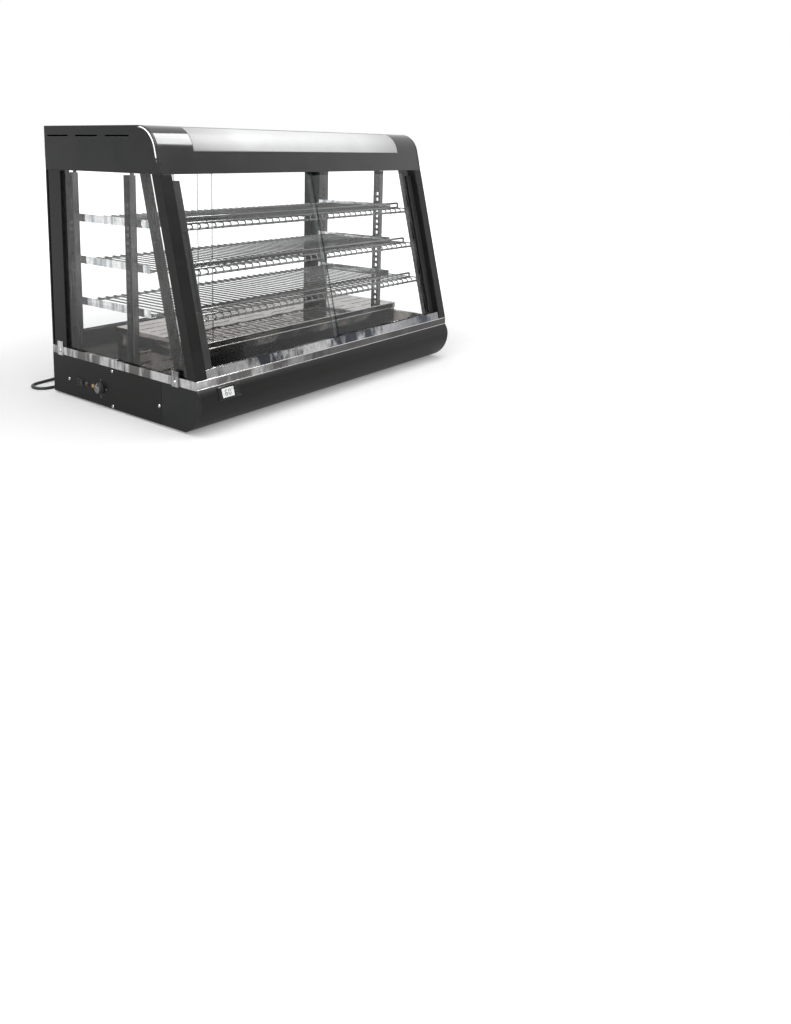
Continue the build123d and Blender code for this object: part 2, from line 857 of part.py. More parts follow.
def switch_housing():
    out = -half - sheet
    rim = slab((out, -half), (switch_y - switch_length / 2, switch_y + switch_length / 2),
               (control_z - switch_width / 2, control_z + switch_width / 2))
    inset = sheet + slip / 2
    y = (switch_y - switch_length / 2 + inset, switch_y + switch_length / 2 - inset)
    z = (control_z - switch_width / 2 + inset, control_z + switch_width / 2 - inset)
    rim += slab((-half, -half + switch_depth), y, z)
    pocket_y, pocket_z = switch_pocket()
    socket = drum(pivot_radius + running, pocket_z[1] - pocket_z[0] + 2 * pivot_reach,
                  (pivot_depth - half, switch_y, pocket_z[0] - pivot_reach), (0, 0, 1))
    return rim - slab((out - 1, -half + switch_depth / 2), pocket_y, pocket_z) - socket


def switch_rocker():
    """Rocker with a shallow V front, stored pressed in at its rear end."""
    pocket_y, pocket_z = switch_pocket()
    length = pocket_y[1] - pocket_y[0] - 4 * gap
    reach = length / 2
    front = -half - sheet
    points = [
        (front - rocker_lift * 1.6, switch_y - reach), (front - rocker_lift / 2, switch_y),
        (front - rocker_lift * 1.6, switch_y + reach), (front + reach / 2, switch_y + reach * 0.8),
        (front + reach * 0.8, switch_y), (front + reach / 2, switch_y - reach * 0.8),
    ]
    axis_x = pivot_depth - half
    outline = make_face(Polyline(*points, close=True))
    low = pocket_z[0] + gap
    body = Pos(0, 0, low) * extrude(outline, amount=pocket_z[1] - pocket_z[0] - 2 * gap, dir=(0, 0, 1))
    pin_start = pocket_z[0] - pivot_reach + gap / 2
    pin = drum(pivot_radius, control_z * 2 - 2 * pin_start, (axis_x, switch_y, pin_start), (0, 0, 1))
    turned = Pos(axis_x, switch_y, 0) * Rot(0, 0, rocker_tilt) * Pos(-axis_x, -switch_y, 0)
    return turned * (body + pin)


def meter_place():
    """Where the thermometer sits, square to the swelling front of the base."""
    tilt = degrees(asin((meter_z - bulge_z) / upper_radius))
    return Pos(meter_inset - half, bulge_y(meter_z), meter_z) * Rot(-tilt, 0, 0)


def meter_sink():
    return upper_radius - sqrt(upper_radius**2 - (meter_height / 2 - skin) ** 2)


def meter_cutout():
    x = meter_length / 2 - skin
    z = meter_height / 2 - skin
    return slab((-x, x), (-meter_depth, meter_depth), (-z, z))


def meter_seat():
    """Shallow flat that the back of the bezel lies in."""
    x, z = meter_length / 2 + gap, meter_height / 2 + gap
    return slab((-x, x), (meter_sink() - meter_bezel, meter_sink()), (-z, z))


def thermometer():
    sink = meter_sink()
    x, z = meter_length / 2, meter_height / 2
    bezel = slab((-x, x), (sink - meter_bezel, sink), (-z, z))
    inner_x, inner_z = x - skin - gap, z - skin - gap
    body = slab((-inner_x, inner_x), (sink, sink + meter_depth), (-inner_z, inner_z))
    recess = slab((window_shift - window_length / 2, window_shift + window_length / 2),
                  (sink - 2 * meter_bezel, sink - meter_bezel + window_thick),
                  (-window_height / 2, window_height / 2))
    return meter_place() * (bezel + body - recess)


def thermometer_window():
    front = meter_sink() - meter_bezel
    x = (window_shift - window_length / 2, window_shift + window_length / 2)
    z = (-window_height / 2, window_height / 2)
    return meter_place() * slab(x, (front + gap / 2, front + window_thick), z)


def screw_places():
    """Panel screws as distance back from the front and height."""
    low = base_bottom + skin + sheet + screw_radius + screw_edge
    high = base_top - 2 * screw_head
    rear = body_depth - rear_screw_inset
    middle = body_depth - middle_screw_inset
    return [(rear, control_z), (middle, high), (middle, low), (cap_length + 2 * screw_head, control_z)]


def fasteners():
    screws = []
    for y_back, z in screw_places():
        at = (-half, front_y + y_back, z)
        screw = drum(screw_head, screw_head_height, at, (-1, 0, 0))
        screw += drum(screw_radius, screw_length, at, (1, 0, 0))
        screws += [screw, opposite(screw)]
    return screws


def glass_clips():
    """Chrome clips that hold the foot of the side glass and of the rear posts to the trim."""
    clips = []
    low = base_top - clip_thick
    for back, face in ((front_clip_back, -glass_outer), (rear_clip_back, -half)):
        y = (front_y + back - clip_width / 2, front_y + back + clip_width / 2)
        x = (-half - clip_thick, -half)
        leg_y = (y[0] + clip_thick, y[1] - clip_thick)
        clip = slab(x, leg_y, (low, trim_top))
        clip += slab((x[0], face), y, (trim_top, trim_top + clip_top))
        head_z = (low + trim_top) / 2
        clip += drum(screw_head, screw_head_height, (x[0], front_y + back, head_z), (-1, 0, 0))
        clips += [clip, opposite(clip)]
    return clips


def rubber_feet():
    feet = []
    for x in (-half + foot_inset, half - foot_inset):
        for y in (front_y + foot_inset + toe_setback, rear_y - foot_inset):
            feet.append(drum(foot_radius, foot_height, (x, y, 0), (0, 0, 1)))
    return feet


def cord_gland():
    """Gland through the rear panel, with a tapered boot for the cord."""
    radius = gland_radius - gland_flange - slip / 2
    nut = drum(gland_radius, 3 * sheet, (gland_x, rear_y - sheet, gland_z), (0, -1, 0))
    core = drum(radius, 2 * sheet, (gland_x, rear_y + sheet / 2, gland_z), (0, -1, 0))
    ring = drum(gland_radius, gland_flange, (gland_x, rear_y, gland_z), (0, 1, 0))
    start = Plane(origin=(gland_x, rear_y + gland_flange, gland_z), z_dir=(0, 1, 0))
    end = Plane(origin=(gland_x, rear_y + gland_flange + boot_length, gland_z), z_dir=(0, 1, 0))
    boot = loft([start * Circle(boot_radius), end * Circle(cord / 2 + 1)])
    return nut + core + ring + boot


def cord_route():
    """Free stretch: out of the gland, down to the table, round a loop and back behind the case."""
    z = cord / 2 + floor_clear
    start = rear_y + gland_flange + boot_length
    entry = coil_entry()[1]
    loop = [
        (-6, 66, 19), (-20, 77, 11), (-43, 82, 5), (-70, 82.5, z), (-98, 80, z), (-112, 76.2, z),
        (-122.2, 66, z), (-126, 52, z), (-122.2, 38, z), (-112, 27.8, z), (-98, 24, z), (-60, 20.5, z),
        (-10, 19, z),
    ]
    return [
        (gland_x, start, gland_z),
        (gland_x, start + first_run, gland_z),
        *[(gland_x + side, rear_y + back, height) for side, back, height in loop],
        (coil_x - coil_approach, entry, z),
        (coil_x - cord, entry, z),
    ]


def power_cord():
    points = cord_route()
    radii, turns = [], []
    for before, here, after in zip(points, points[1:], points[2:]):
        turn = (Vector(*here) - Vector(*before)).get_angle(Vector(*after) - Vector(*here))
        run = min(dist(before, here), dist(here, after))
        radii.append(0.45 * run / tan(radians(turn / 2)))
        turns.append(turn)
    print("cord radii:", [round(r, 1) for r in radii], "turns:", [round(t, 1) for t in turns])
    path = FilletPolyline(*points, radius=radii)
    first = Vector(*points[1]) - Vector(*points[0])
    section = Plane(origin=points[0], z_dir=first) * Circle(cord / 2)
    tube = sweep(section, path=path)
    print("cord length:", round(path.length, 1), "tube volume / section x length:",
          round(tube.volume / (pi * cord**2 / 4 * path.length), 4))
    return tube


def coil_step():
    return cord + coil_gap


def coil_radius(turns):
    """Radius after a number of turns: in through the lower layer, out through the upper one."""
    outer = coil_across * cord / 2 + coil_turns * coil_step() / 2
    middle = coil_turns + 0.25
    return outer - coil_step() * (middle - abs(turns - middle))


def coil_height(turns):
    climb = min(max((turns - coil_turns) / 0.5, 0.0), 1.0)
    return cord / 2 + floor_clear + coil_step() * (3 * climb**2 - 2 * climb**3)


def coil_entry():
    return coil_x, coil_y - coil_radius(0)


def coil_point(turns):
    angle = 2 * pi * turns - pi / 2
    radius = coil_radius(turns)
    return Vector(coil_x + radius * cos(angle), coil_y + radius * sin(angle), coil_height(turns))


def coil_way(turns, end=False):
    """Direction of the cord in the coil. Both ends run square to the radius."""
    small = 1e-4
    if end:
        angle = 2 * pi * turns
        return Vector(cos(angle), sin(angle), 0)
    return (coil_point(turns + small) - coil_point(turns - small)).normalized()


def biarc(start, start_way, end, end_way):
    """Two arcs that leave one point and reach the other in given directions."""
    chord, ways = end - start, start_way + end_way
    spread = 2 * (1 - start_way.dot(end_way))
    reach = chord.dot(ways)
    arm = (sqrt(reach**2 + spread * chord.dot(chord)) - reach) / spread
    middle = (start + end + (start_way - end_way) * arm) * 0.5
    way = (middle - start - start_way * arm).normalized()
    return [
        Edge.make_tangent_arc(start, start_way, middle),
        Edge.make_tangent_arc(middle, way, end),
    ]


def coil_path():
    total = 2 * coil_turns + 0.5
    count = round(4 * total)
    stops = [total * n / count for n in range(count + 1)]
    points = [coil_point(t) for t in stops]
    ways = [coil_way(t, end=t in (0.0, total)) for t in stops]
    lead_in = Edge.make_line(points[0] - ways[0] * cord, points[0])
    lead_out = Edge.make_line(points[-1], points[-1] + ways[-1] * coil_lead)
    edges = [lead_in]
    for n in range(count):
        edges += biarc(points[n], ways[n], points[n + 1], ways[n + 1])
    return Wire([*edges, lead_out])


def cord_coil():
    path = coil_path()
    steps = 720
    points = [path.position_at(n / steps) for n in range(steps + 1)]
    near = int(steps * 0.5 * coil_radius(coil_turns) * 2 * pi / path.length)
    least = min(
        (points[a] - points[b]).length
        for a in range(steps + 1)
        for b in range(a + near, steps + 1)
    )
    print("coil length:", round(path.length, 1), "least gap to itself:", round(least - cord, 2))
    start = path.position_at(0)
    section = Plane(origin=start, z_dir=path.tangent_at(0)) * Circle(cord / 2)
    return sweep(section, path=path)


def coil_exit():
    """Where the last turn ends, and which way it points."""
    total = 2 * coil_turns + 0.5
    way = coil_way(total, end=True)
    return coil_point(total) + way * coil_lead, way


def plug():
    """Earthed plug that lies beside the coil, built along +X and turned to the cord."""
    at, way = coil_exit()
    turn = Vector(1, 0, 0).get_signed_angle(way, Vector(0, 0, 1))
    start = Plane.YZ
    end = Plane(origin=(plug_boot, 0, 0), z_dir=(1, 0, 0))
    boot = loft([start * Circle(cord / 2 + 1), end * Circle(cord / 2 + 4)])
    body = slab((plug_boot, plug_boot + plug_length), (-plug_width / 2, plug_width / 2),
                (-plug_height / 2, plug_height / 2))
    body = fillet(body.edges().filter_by(Axis.X), plug_height * 0.3)
    whole = boot + body
    for y in (-pin_spread, pin_spread):
        whole += drum(pin_radius, pin_length, (plug_boot + plug_length, y, 0), (1, 0, 0))
    return Pos(*at) * Rot(0, 0, turn) * whole


def cord_tie():
    """Band round the turns at the side of the coil away from the case."""
    inner = coil_radius(coil_turns) - cord / 2 - tie_gap
    outer = coil_radius(0) + cord / 2 + tie_gap
    high = cord + coil_step() + floor_clear + gap
    x = (coil_x + inner - tie_thick, coil_x + outer + tie_thick)
    y = (coil_y - tie_width / 2, coil_y + tie_width / 2)
    band = slab(x, y, (0, high + tie_thick))
    return band - slab((coil_x + inner, coil_x + outer), (y[0] - 1, y[1] + 1), (-1, high))


rear_upright_y = rear_y - rear_upright_back
mid_upright_y = rear_y - mid_upright_back
box_mid = front_y + (box_front + box_back) / 2
element_z = deck_top + sheet + element_lift
gland_x = gland_inset - half
coil_x = gland_x + coil_side
coil_y = rear_y + coil_back
knob_y = rear_y - knob_back
amber_y = rear_y - amber_back
red_y = rear_y - red_back
switch_y = rear_y - switch_back

os.makedirs("parts", exist_ok=True)


def save(name, shape):
    """Writes one node. A list is a group of separate solids."""
    solids = []
    for piece in shape if isinstance(shape, list) else [shape]:
        solids += piece.solids()
    whole = solids[0] if len(solids) == 1 else Compound(children=solids)
    export_step(whole, f"parts/{name}.step")


def save_pair(name, shape):
    save(f"{name}_left", shape)
    pieces = shape if isinstance(shape, list) else [shape]
    save(f"{name}_right", [opposite(piece) for piece in pieces])


save("base_pan", base_pan())
save("base_side_left", base_side_left())
save("base_side_right", opposite(base_side()))
save("base_front_panel", base_front_panel())
save("base_rear_panel", base_rear_panel())
save_pair("corner_cap", corner_cap())
save("deck_plate", deck_plate())
save("steel_trim", steel_trim())
save_pair("front_post", front_post())
save_pair("rear_post", rear_post())
save_pair("side_glass", side_glass())
save("slanted_strips", [slanted_strip(), opposite(slanted_strip())])
save_pair("shelf_uprights", [upright(rear_upright_y), upright(mid_upright_y)])
save_pair("support_bars", [support_bar(slot) for slot in shelf_slots])
for level, slot in zip(("upper", "middle", "lower"), shelf_slots):
    save(f"wire_shelf_{level}", wire_shelf(slot))
save("front_bottom_track", front_bottom_track())
save("front_top_track", front_top_track())
save("rear_bottom_track", rear_bottom_track())
save("rear_top_track", rear_top_track())
for place, doors in (("front", front_doors()), ("rear", rear_doors())):
    for side, (pane, edge) in zip(("left", "right"), doors):
        save(f"{place}_door_{side}_glass", pane)
        save(f"{place}_door_{side}_edge", edge)
save("canopy_shell", canopy_shell())
save_pair("canopy_end", canopy_end())
save("canopy_ceiling", canopy_ceiling())
save("canopy_rear_panel", canopy_rear_panel())
save("sign_panel", sign_panel())
save("sign_lamp", sign_lamp())
save("heater_housing", heater_housing())
save("heater_cover", heater_cover())
save("heating_element", heating_element())
save("water_pan", water_pan())
save("thermostat_body", thermostat_body())
save("thermostat_knob", thermostat_knob())
save("pilot_lamps", [pilot_lamp(amber_y), pilot_lamp(red_y)])
save("switch_housing", switch_housing())
save("switch_rocker", switch_rocker())
save("thermometer", [thermometer(), thermometer_window()])
save("fasteners", fasteners())
save("glass_clips", glass_clips())
save("rubber_feet", rubber_feet())
save("cord_gland", cord_gland())
save("power_cord", power_cord())
save("cord_coil", cord_coil())
save("cord_tie", cord_tie())
save("cord_plug", plug())
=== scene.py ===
import json
from math import asin, atan, cos, pi, radians, sin, sqrt

import bmesh
import bpy
from mathutils import Matrix, Vector


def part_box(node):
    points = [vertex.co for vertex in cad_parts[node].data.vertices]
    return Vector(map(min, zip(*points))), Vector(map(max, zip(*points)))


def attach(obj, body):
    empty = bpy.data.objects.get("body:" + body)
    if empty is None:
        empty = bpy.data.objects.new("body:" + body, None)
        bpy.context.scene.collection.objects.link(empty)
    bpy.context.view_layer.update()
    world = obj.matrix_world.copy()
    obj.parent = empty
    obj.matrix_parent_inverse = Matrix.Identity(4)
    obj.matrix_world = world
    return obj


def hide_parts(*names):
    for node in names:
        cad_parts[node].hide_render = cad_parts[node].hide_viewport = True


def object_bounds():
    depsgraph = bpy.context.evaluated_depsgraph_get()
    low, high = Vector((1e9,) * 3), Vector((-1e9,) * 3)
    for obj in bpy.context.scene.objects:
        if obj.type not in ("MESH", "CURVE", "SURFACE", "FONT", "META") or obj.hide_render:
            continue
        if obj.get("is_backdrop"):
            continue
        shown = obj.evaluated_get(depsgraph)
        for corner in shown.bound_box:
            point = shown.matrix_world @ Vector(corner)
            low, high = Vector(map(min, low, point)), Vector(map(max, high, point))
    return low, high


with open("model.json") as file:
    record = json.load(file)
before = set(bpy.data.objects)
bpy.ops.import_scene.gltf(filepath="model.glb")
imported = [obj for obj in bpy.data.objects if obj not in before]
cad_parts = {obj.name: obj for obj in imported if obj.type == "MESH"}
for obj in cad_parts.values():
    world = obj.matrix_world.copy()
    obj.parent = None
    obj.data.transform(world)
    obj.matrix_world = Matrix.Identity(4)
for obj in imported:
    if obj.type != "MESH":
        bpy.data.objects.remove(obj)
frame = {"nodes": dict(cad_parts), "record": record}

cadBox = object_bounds()
nodes = frame["nodes"]
scene = bpy.context.scene
collection = scene.collection
mm = 0.001

# Half width and front of the base in mm, and the sine of the front's lean
case = {"halfWidth": 450.0, "front": -237.5, "lean": 0.2367}


def vec(x, y, z):
    return Vector((x, y, z)) * mm


def nodeBox(name):
    low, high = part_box(name)
    return Vector(low), Vector(high)


# Camera: the angle of the photo. Yaw, pitch and roll in radians, focal length and centre in pixels.
shot = {"place": (-1.5247, -1.4463, 0.5602), "yaw": 0.885, "pitch": 0.175, "roll": 0.015,
        "focal": 856.939, "centre": (330, 300), "image": (791, 1024), "sensor": 36, "near": 0.01}


def aimCamera():
    yaw, pitch, roll = shot["yaw"], shot["pitch"], shot["roll"]
    ahead = Vector((sin(yaw) * cos(pitch), cos(yaw) * cos(pitch), -sin(pitch)))
    right = Vector((cos(yaw), -sin(yaw), 0))
    up = right.cross(ahead)
    tiltedRight = right * cos(roll) + up * sin(roll)
    tiltedUp = up * cos(roll) - right * sin(roll)
    turn = Matrix((tiltedRight, tiltedUp, -ahead)).transposed().to_4x4()
    wide, high = shot["image"]
    data = bpy.data.cameras.new("camera")
    data.sensor_fit = "AUTO"
    data.sensor_width = shot["sensor"]
    data.lens = shot["focal"] / high * data.sensor_width
    data.shift_x = (wide / 2 - shot["centre"][0]) / high
    data.shift_y = (shot["centre"][1] - high / 2) / high
    data.clip_start = shot["near"]
    camera = bpy.data.objects.new("camera", data)
    camera.matrix_world = Matrix.Translation(shot["place"]) @ turn
    collection.objects.link(camera)
    scene.camera = camera


aimCamera()
print("camera set")


# Wraps a socket, so that sums on it become Math nodes
class Signal:
    def __init__(self, finish, socket):
        self.finish = finish
        self.socket = socket

    def math(self, kind, *values):
        return self.finish.node("ShaderNodeMath", {"operation": kind}, dict(enumerate(values)))

    def __add__(self, other):
        return self.math("ADD", self, other)

    def __sub__(self, other):
        return self.math("SUBTRACT", self, other)

    def __rsub__(self, other):
        return self.math("SUBTRACT", other, self)

    def __mul__(self, other):
        return self.math("MULTIPLY", self, other)

    def __lt__(self, other):
        return self.math("LESS_THAN", self, other)

    def __gt__(self, other):
        return self.math("GREATER_THAN", self, other)

    def __abs__(self):
        return self.math("ABSOLUTE", self)

    __radd__ = __add__
    __rmul__ = __mul__

    def clamp(self):
        return self.math("MINIMUM", self.math("MAXIMUM", self, 0.0), 1.0)

    def fade(self, low, high, start=0.0, end=1.0):
        return self.finish.node("ShaderNodeMapRange", {"clamp": True},
                                {0: self, 1: low, 2: high, 3: start, 4: end})


class Finish:
    def __init__(self, name, tree=None):
        if tree is None:
            self.material = bpy.data.materials.new(name)
            self.material.use_nodes = True
            tree = self.material.node_tree
        self.tree = tree
        tree.nodes.clear()
        self.column = 0

    def node(self, kind, settings=None, sockets=None, output=0):
        made = self.tree.nodes.new(kind)
        made.location = (self.column * 190, -60 * (self.column % 5))
        self.column += 1
        for key, value in (settings or {}).items():
            if key == "stops":
                self.setStops(made.color_ramp, value)
            else:
                setattr(made, key, value)
        for key, value in (sockets or {}).items():
            socket = made.inputs[key]
            if isinstance(value, Signal):
                self.tree.links.new(value.socket, socket)
            else:
                socket.default_value = value
        return Signal(self, made.outputs[output]) if len(made.outputs) else None

    def setStops(self, ramp, stops):
        while len(ramp.elements) < len(stops):
            ramp.elements.new(1.0)
        for element, (place, color) in zip(ramp.elements, stops):
            element.position = place
            element.color = color

    def place(self, stretch=(1, 1, 1)):
        raw = self.node("ShaderNodeTexCoord", output="Object")
        return self.node("ShaderNodeMapping", {}, {"Vector": raw, "Scale": stretch})

    def noise(self, scale, detail, rough=0.55, stretch=(1, 1, 1)):
        return self.node("ShaderNodeTexNoise", {}, {"Vector": self.place(stretch), "Scale": scale,
                                                    "Detail": detail, "Roughness": rough})

    def across(self):
        return self.node("ShaderNodeSeparateXYZ", {}, {0: self.place()}, "X")

    def facing(self, way):
        # 1 on faces that look along the way, -1 on those that look against it
        normal = self.node("ShaderNodeNewGeometry", output="True Normal")
        return self.node("ShaderNodeVectorMath", {"operation": "DOT_PRODUCT"},
                         {0: normal, 1: way}, "Value")

    def mix(self, factor, first, second):
        return self.node("ShaderNodeMix", {"data_type": "RGBA"}, {0: factor, 6: first, 7: second}, 2)

    def bump(self, height, distance, strength):
        return self.node("ShaderNodeBump", {},
                         {"Height": height, "Distance": distance, "Strength": strength})

    def surface(self, **values):
        names = {key.replace("_", " "): value for key, value in values.items()}
        return self.node("ShaderNodeBsdfPrincipled", {}, names)

    def close(self, shader):
        self.node("ShaderNodeOutputMaterial", {}, {"Surface": shader})
        return self.material

    def paint(self, color, rough, normal, **more):
        return self.close(self.surface(Base_Color=color, Roughness=rough, Normal=normal, **more))


def shade(value, tint=(1, 1, 1)):
    return (*[value * part for part in tint], 1)


# Finishes. Noise scales are in features per metre and bump distances in metres.
coat = {"color": 0.011, "tint": (1.0, 0.93, 0.88), "grain": 1400, "peel": 260, "dust": 70,
        "dustColor": 0.16, "rough": (0.26, 0.38), "shine": 0.26}


def powderCoat():
    f = Finish("powderCoat")
    broad = f.noise(9, 4)
    peel = f.noise(coat["peel"], 2)
    grain = f.noise(coat["grain"], 1)
    dust = f.noise(coat["dust"], 6, 0.7).fade(0.58, 0.8)
    dark, light = shade(coat["color"], coat["tint"]), shade(coat["color"] * 1.35)
    base = f.mix(broad.fade(0.3, 0.7), dark, light)
    color = f.mix(dust * 0.05, base, shade(coat["dustColor"]))
    rough = broad.fade(0.25, 0.75, *coat["rough"]) + dust * 0.1
    normal = f.bump(peel + grain * 0.5, 0.00006, 0.5)
    return f.paint(color, rough, normal, Specular_IOR_Level=coat["shine"])


# The caps are near black; the green cast in their tint is a painted reflection of greenish light on
# their faces.
caps = {"color": 0.018, "tint": (0.84, 1.0, 0.92), "texture": 2200, "rough": (0.26, 0.38),
        "shine": 0.28}


def mouldedPlastic():
    f = Finish("mouldedPlastic")
    broad = f.noise(12, 3)
    texture = f.noise(caps["texture"], 2)
    flow = f.noise(60, 2, stretch=(0.4, 1, 2.5))
    dark, light = shade(caps["color"], caps["tint"]), shade(caps["color"] * 1.3)
    color = f.mix(broad.fade(0.3, 0.7), dark, light)
    rough = (broad + flow * 0.4).fade(0.4, 1.0, *caps["rough"])
    normal = f.bump(texture, 0.00005, 0.45)
    return f.paint(color, rough, normal, Specular_IOR_Level=caps["shine"])


enamel = {"color": 0.012, "rough": (0.12, 0.17), "peel": 130}


def glossEnamel(name, ior):
    f = Finish(name)
    smears = f.noise(16, 6, 0.65)
    peel = f.noise(enamel["peel"], 2)
    color = f.mix(smears.fade(0.35, 0.75), shade(enamel["color"]), shade(enamel["color"] * 1.6))
    rough = smears.fade(0.35, 0.7, *enamel["rough"])
    normal = f.bump(peel, 0.00008, 0.35)
    return f.paint(color, rough, normal, IOR=ior)


brush = {"color": 0.5, "warm": (1.0, 0.94, 0.89), "streaks": 900, "rough": (0.16, 0.32)}


def brushedSteel(name, along, level=1.0):
    f = Finish(name)
    stretch = tuple(0.02 if axis == along else 1.0 for axis in "XYZ")
    streaks = f.noise(brush["streaks"], 3, 0.6, stretch)
    broad = f.noise(7, 4, 0.6)
    tone = streaks * 0.5 + broad * 0.5
    dark, light = brush["color"] * level * 0.5, brush["color"] * level * 1.3
    color = f.mix(tone.fade(0.35, 0.65), shade(dark, brush["warm"]), shade(light))
    rough = tone.fade(0.3, 0.7, *brush["rough"])
    normal = f.bump(streaks, 0.00003, 0.4)
    return f.paint(color, rough, normal, Metallic=1.0)


# shadow is the colour of the painted shade; the two spans say where along X it fades in.
polish = {"color": 0.84, "worn": 0.62, "shadow": 0.12, "rough": (0.04, 0.13), "wave": 22,
          "frontShadeSpan": (-0.38, -0.05), "rightShadeSpan": (0.05, 0.3)}


def polishedSteel(name, level, dark, reflectionPatches, tint=(1.0, 0.96, 0.95), front=0.0, right=0.0):
    # How often the painted dark reflections come along X, Y and Z, per metre; dark is their shade.
    # front and right: how much painted shade darkens the front face and the right end.
    # Both come in along X, over the metres that polish gives.
    f = Finish(name)
    wave = f.noise(polish["wave"], 2, 0.5, (1, 1, 2))
    smear = f.noise(85, 5, 0.7)
    reflectionPatch = f.noise(1.0, 4, 0.65, reflectionPatches)
    bright, reflectedDark = shade(polish["color"] * level), shade(dark * level, tint)
    worn = f.mix(smear.fade(0.4, 0.75), bright, shade(polish["worn"] * level))
    # Painted reflection: worn polish with dark mirrored patches laid into its colour.
    marks = f.mix(reflectionPatch.fade(0.47, 0.58), worn, reflectedDark)
    across = f.across()
    frontFaceShade = f.facing((0, -1, 0)).fade(0.6, 0.9)
    rightEndShade = across.fade(*polish["rightShadeSpan"])
    # Painted shade on the front face and towards the right end.
    shadow = frontFaceShade * across.fade(*polish["frontShadeSpan"]) * front + rightEndShade * right
    color = f.mix(shadow, marks, shade(polish["shadow"], tint))
    rough = smear.fade(0.35, 0.75, *polish["rough"])
    normal = f.bump(wave, 0.0012, 0.35)
    return f.paint(color, rough, normal, Metallic=1.0)


mirror = {"rough": (0.02, 0.07), "wave": 9}


def mirrorSteel(name, level, tint):
    # Rolled sheet that mirrors the shelves and the room.
    f = Finish(name)
    wave = f.noise(mirror["wave"], 2)
    smear = f.noise(40, 5, 0.7)
    color = f.mix(smear.fade(0.35, 0.75), shade(level, tint), shade(level * 0.6, tint))
    rough = smear.fade(0.35, 0.75, *mirror["rough"])
    normal = f.bump(wave, 0.0015, 0.3)
    return f.paint(color, rough, normal, Metallic=1.0)


plating = {"color": 0.33, "rough": (0.05, 0.14)}


def wirePlating():
    f = Finish("wirePlating")
    spots = f.noise(420, 4, 0.7)
    broad = f.noise(15, 3)
    tone = (spots * 0.6 + broad * 0.4).fade(0.4, 0.7)
    color = f.mix(tone, shade(plating["color"]), shade(plating["color"] * 0.5))
    rough = spots.fade(0.35, 0.7, *plating["rough"])
    normal = f.bump(spots, 0.00005, 0.4)
    return f.paint(color, rough, normal, Metallic=1.0)


pane = {"tint": (0.995, 0.999, 0.997), "edge": (0.008, 0.04, 0.03), "smear": 24, "mirror": 0.9,
        "shine": 0.1}


def clearGlass(name, flat):
    # flat: the way that the panes face. Their narrow edges are green and dark.
    f = Finish(name)
    edge = abs(f.facing(flat)) < 0.6
    smear = f.noise(pane["smear"], 6, 0.72)
    film = smear.fade(0.62, 0.95) * 0.02
    gloss = f.node("ShaderNodeFresnel", {}, {"IOR": 1.45})
    clear = f.node("ShaderNodeBsdfTransparent", {}, {"Color": shade(1, pane["tint"])})
    mirror = f.surface(Base_Color=shade(pane["mirror"]), Metallic=1.0, Roughness=0.03)
    rim = f.surface(Base_Color=shade(1, pane["edge"]), Roughness=0.12, IOR=1.5)
    sheen = (gloss * pane["shine"] + film).clamp()
    seen = f.node("ShaderNodeMixShader", {}, {0: sheen, 1: clear, 2: mirror})
    return f.close(f.node("ShaderNodeMixShader", {}, {0: edge * 0.6, 1: seen, 2: rim}))


# The ends value is how dark the painted shade at both ends of the sign gets.
signs = {"color": (0.6, 0.61, 0.61), "rough": (0.4, 0.5), "ends": 0.62, "endShadeSpan": (0.2, 0.36)}


def signFace():
    f = Finish("signFace")
    cloud = f.noise(11, 3)
    fine = f.noise(300, 2)
    # Painted shade: the sign gets darker towards both ends.
    ends = abs(f.across()).fade(*signs["endShadeSpan"])
    level = signs["color"][0]
    middle = f.mix(cloud.fade(0.3, 0.7), shade(1, signs["color"]), shade(level * 0.93))
    color = f.mix(ends, middle, shade(level * signs["ends"]))
    rough = cloud.fade(0.3, 0.7, *signs["rough"])
    normal = f.bump(fine, 0.00003, 0.3)
    return f.paint(color, rough, normal, Coat_Weight=0.05)


def plainFinish(name, color, rough, grain, metallic=0.0, depth=0.00005, spread=0.12):
    # spread: how far the shade varies to both sides
    f = Finish(name)
    tone = f.noise(grain, 3)
    broad = f.noise(grain / 25, 3)
    blend = (tone * 0.5 + broad * 0.5).fade(0.35, 0.65)
    shades = f.mix(blend, shade(1 - spread, color), shade(1 + spread, color))
    roughness = broad.fade(0.3, 0.7, rough * 0.85, rough * 1.15)
    normal = f.bump(tone, depth, 0.5)
    return f.paint(shades, roughness, normal, Metallic=metallic)


def lensFinish(name, color, glow):
    f = Finish(name)
    facets = f.noise(500, 2)
    shades = f.mix(facets.fade(0.3, 0.7), shade(1, color), shade(0.6, color))
    return f.close(f.surface(Base_Color=shades, Roughness=facets.fade(0.3, 0.7, 0.12, 0.25),
                             Emission_Color=shades, Emission_Strength=glow, Coat_Weight=0.6))


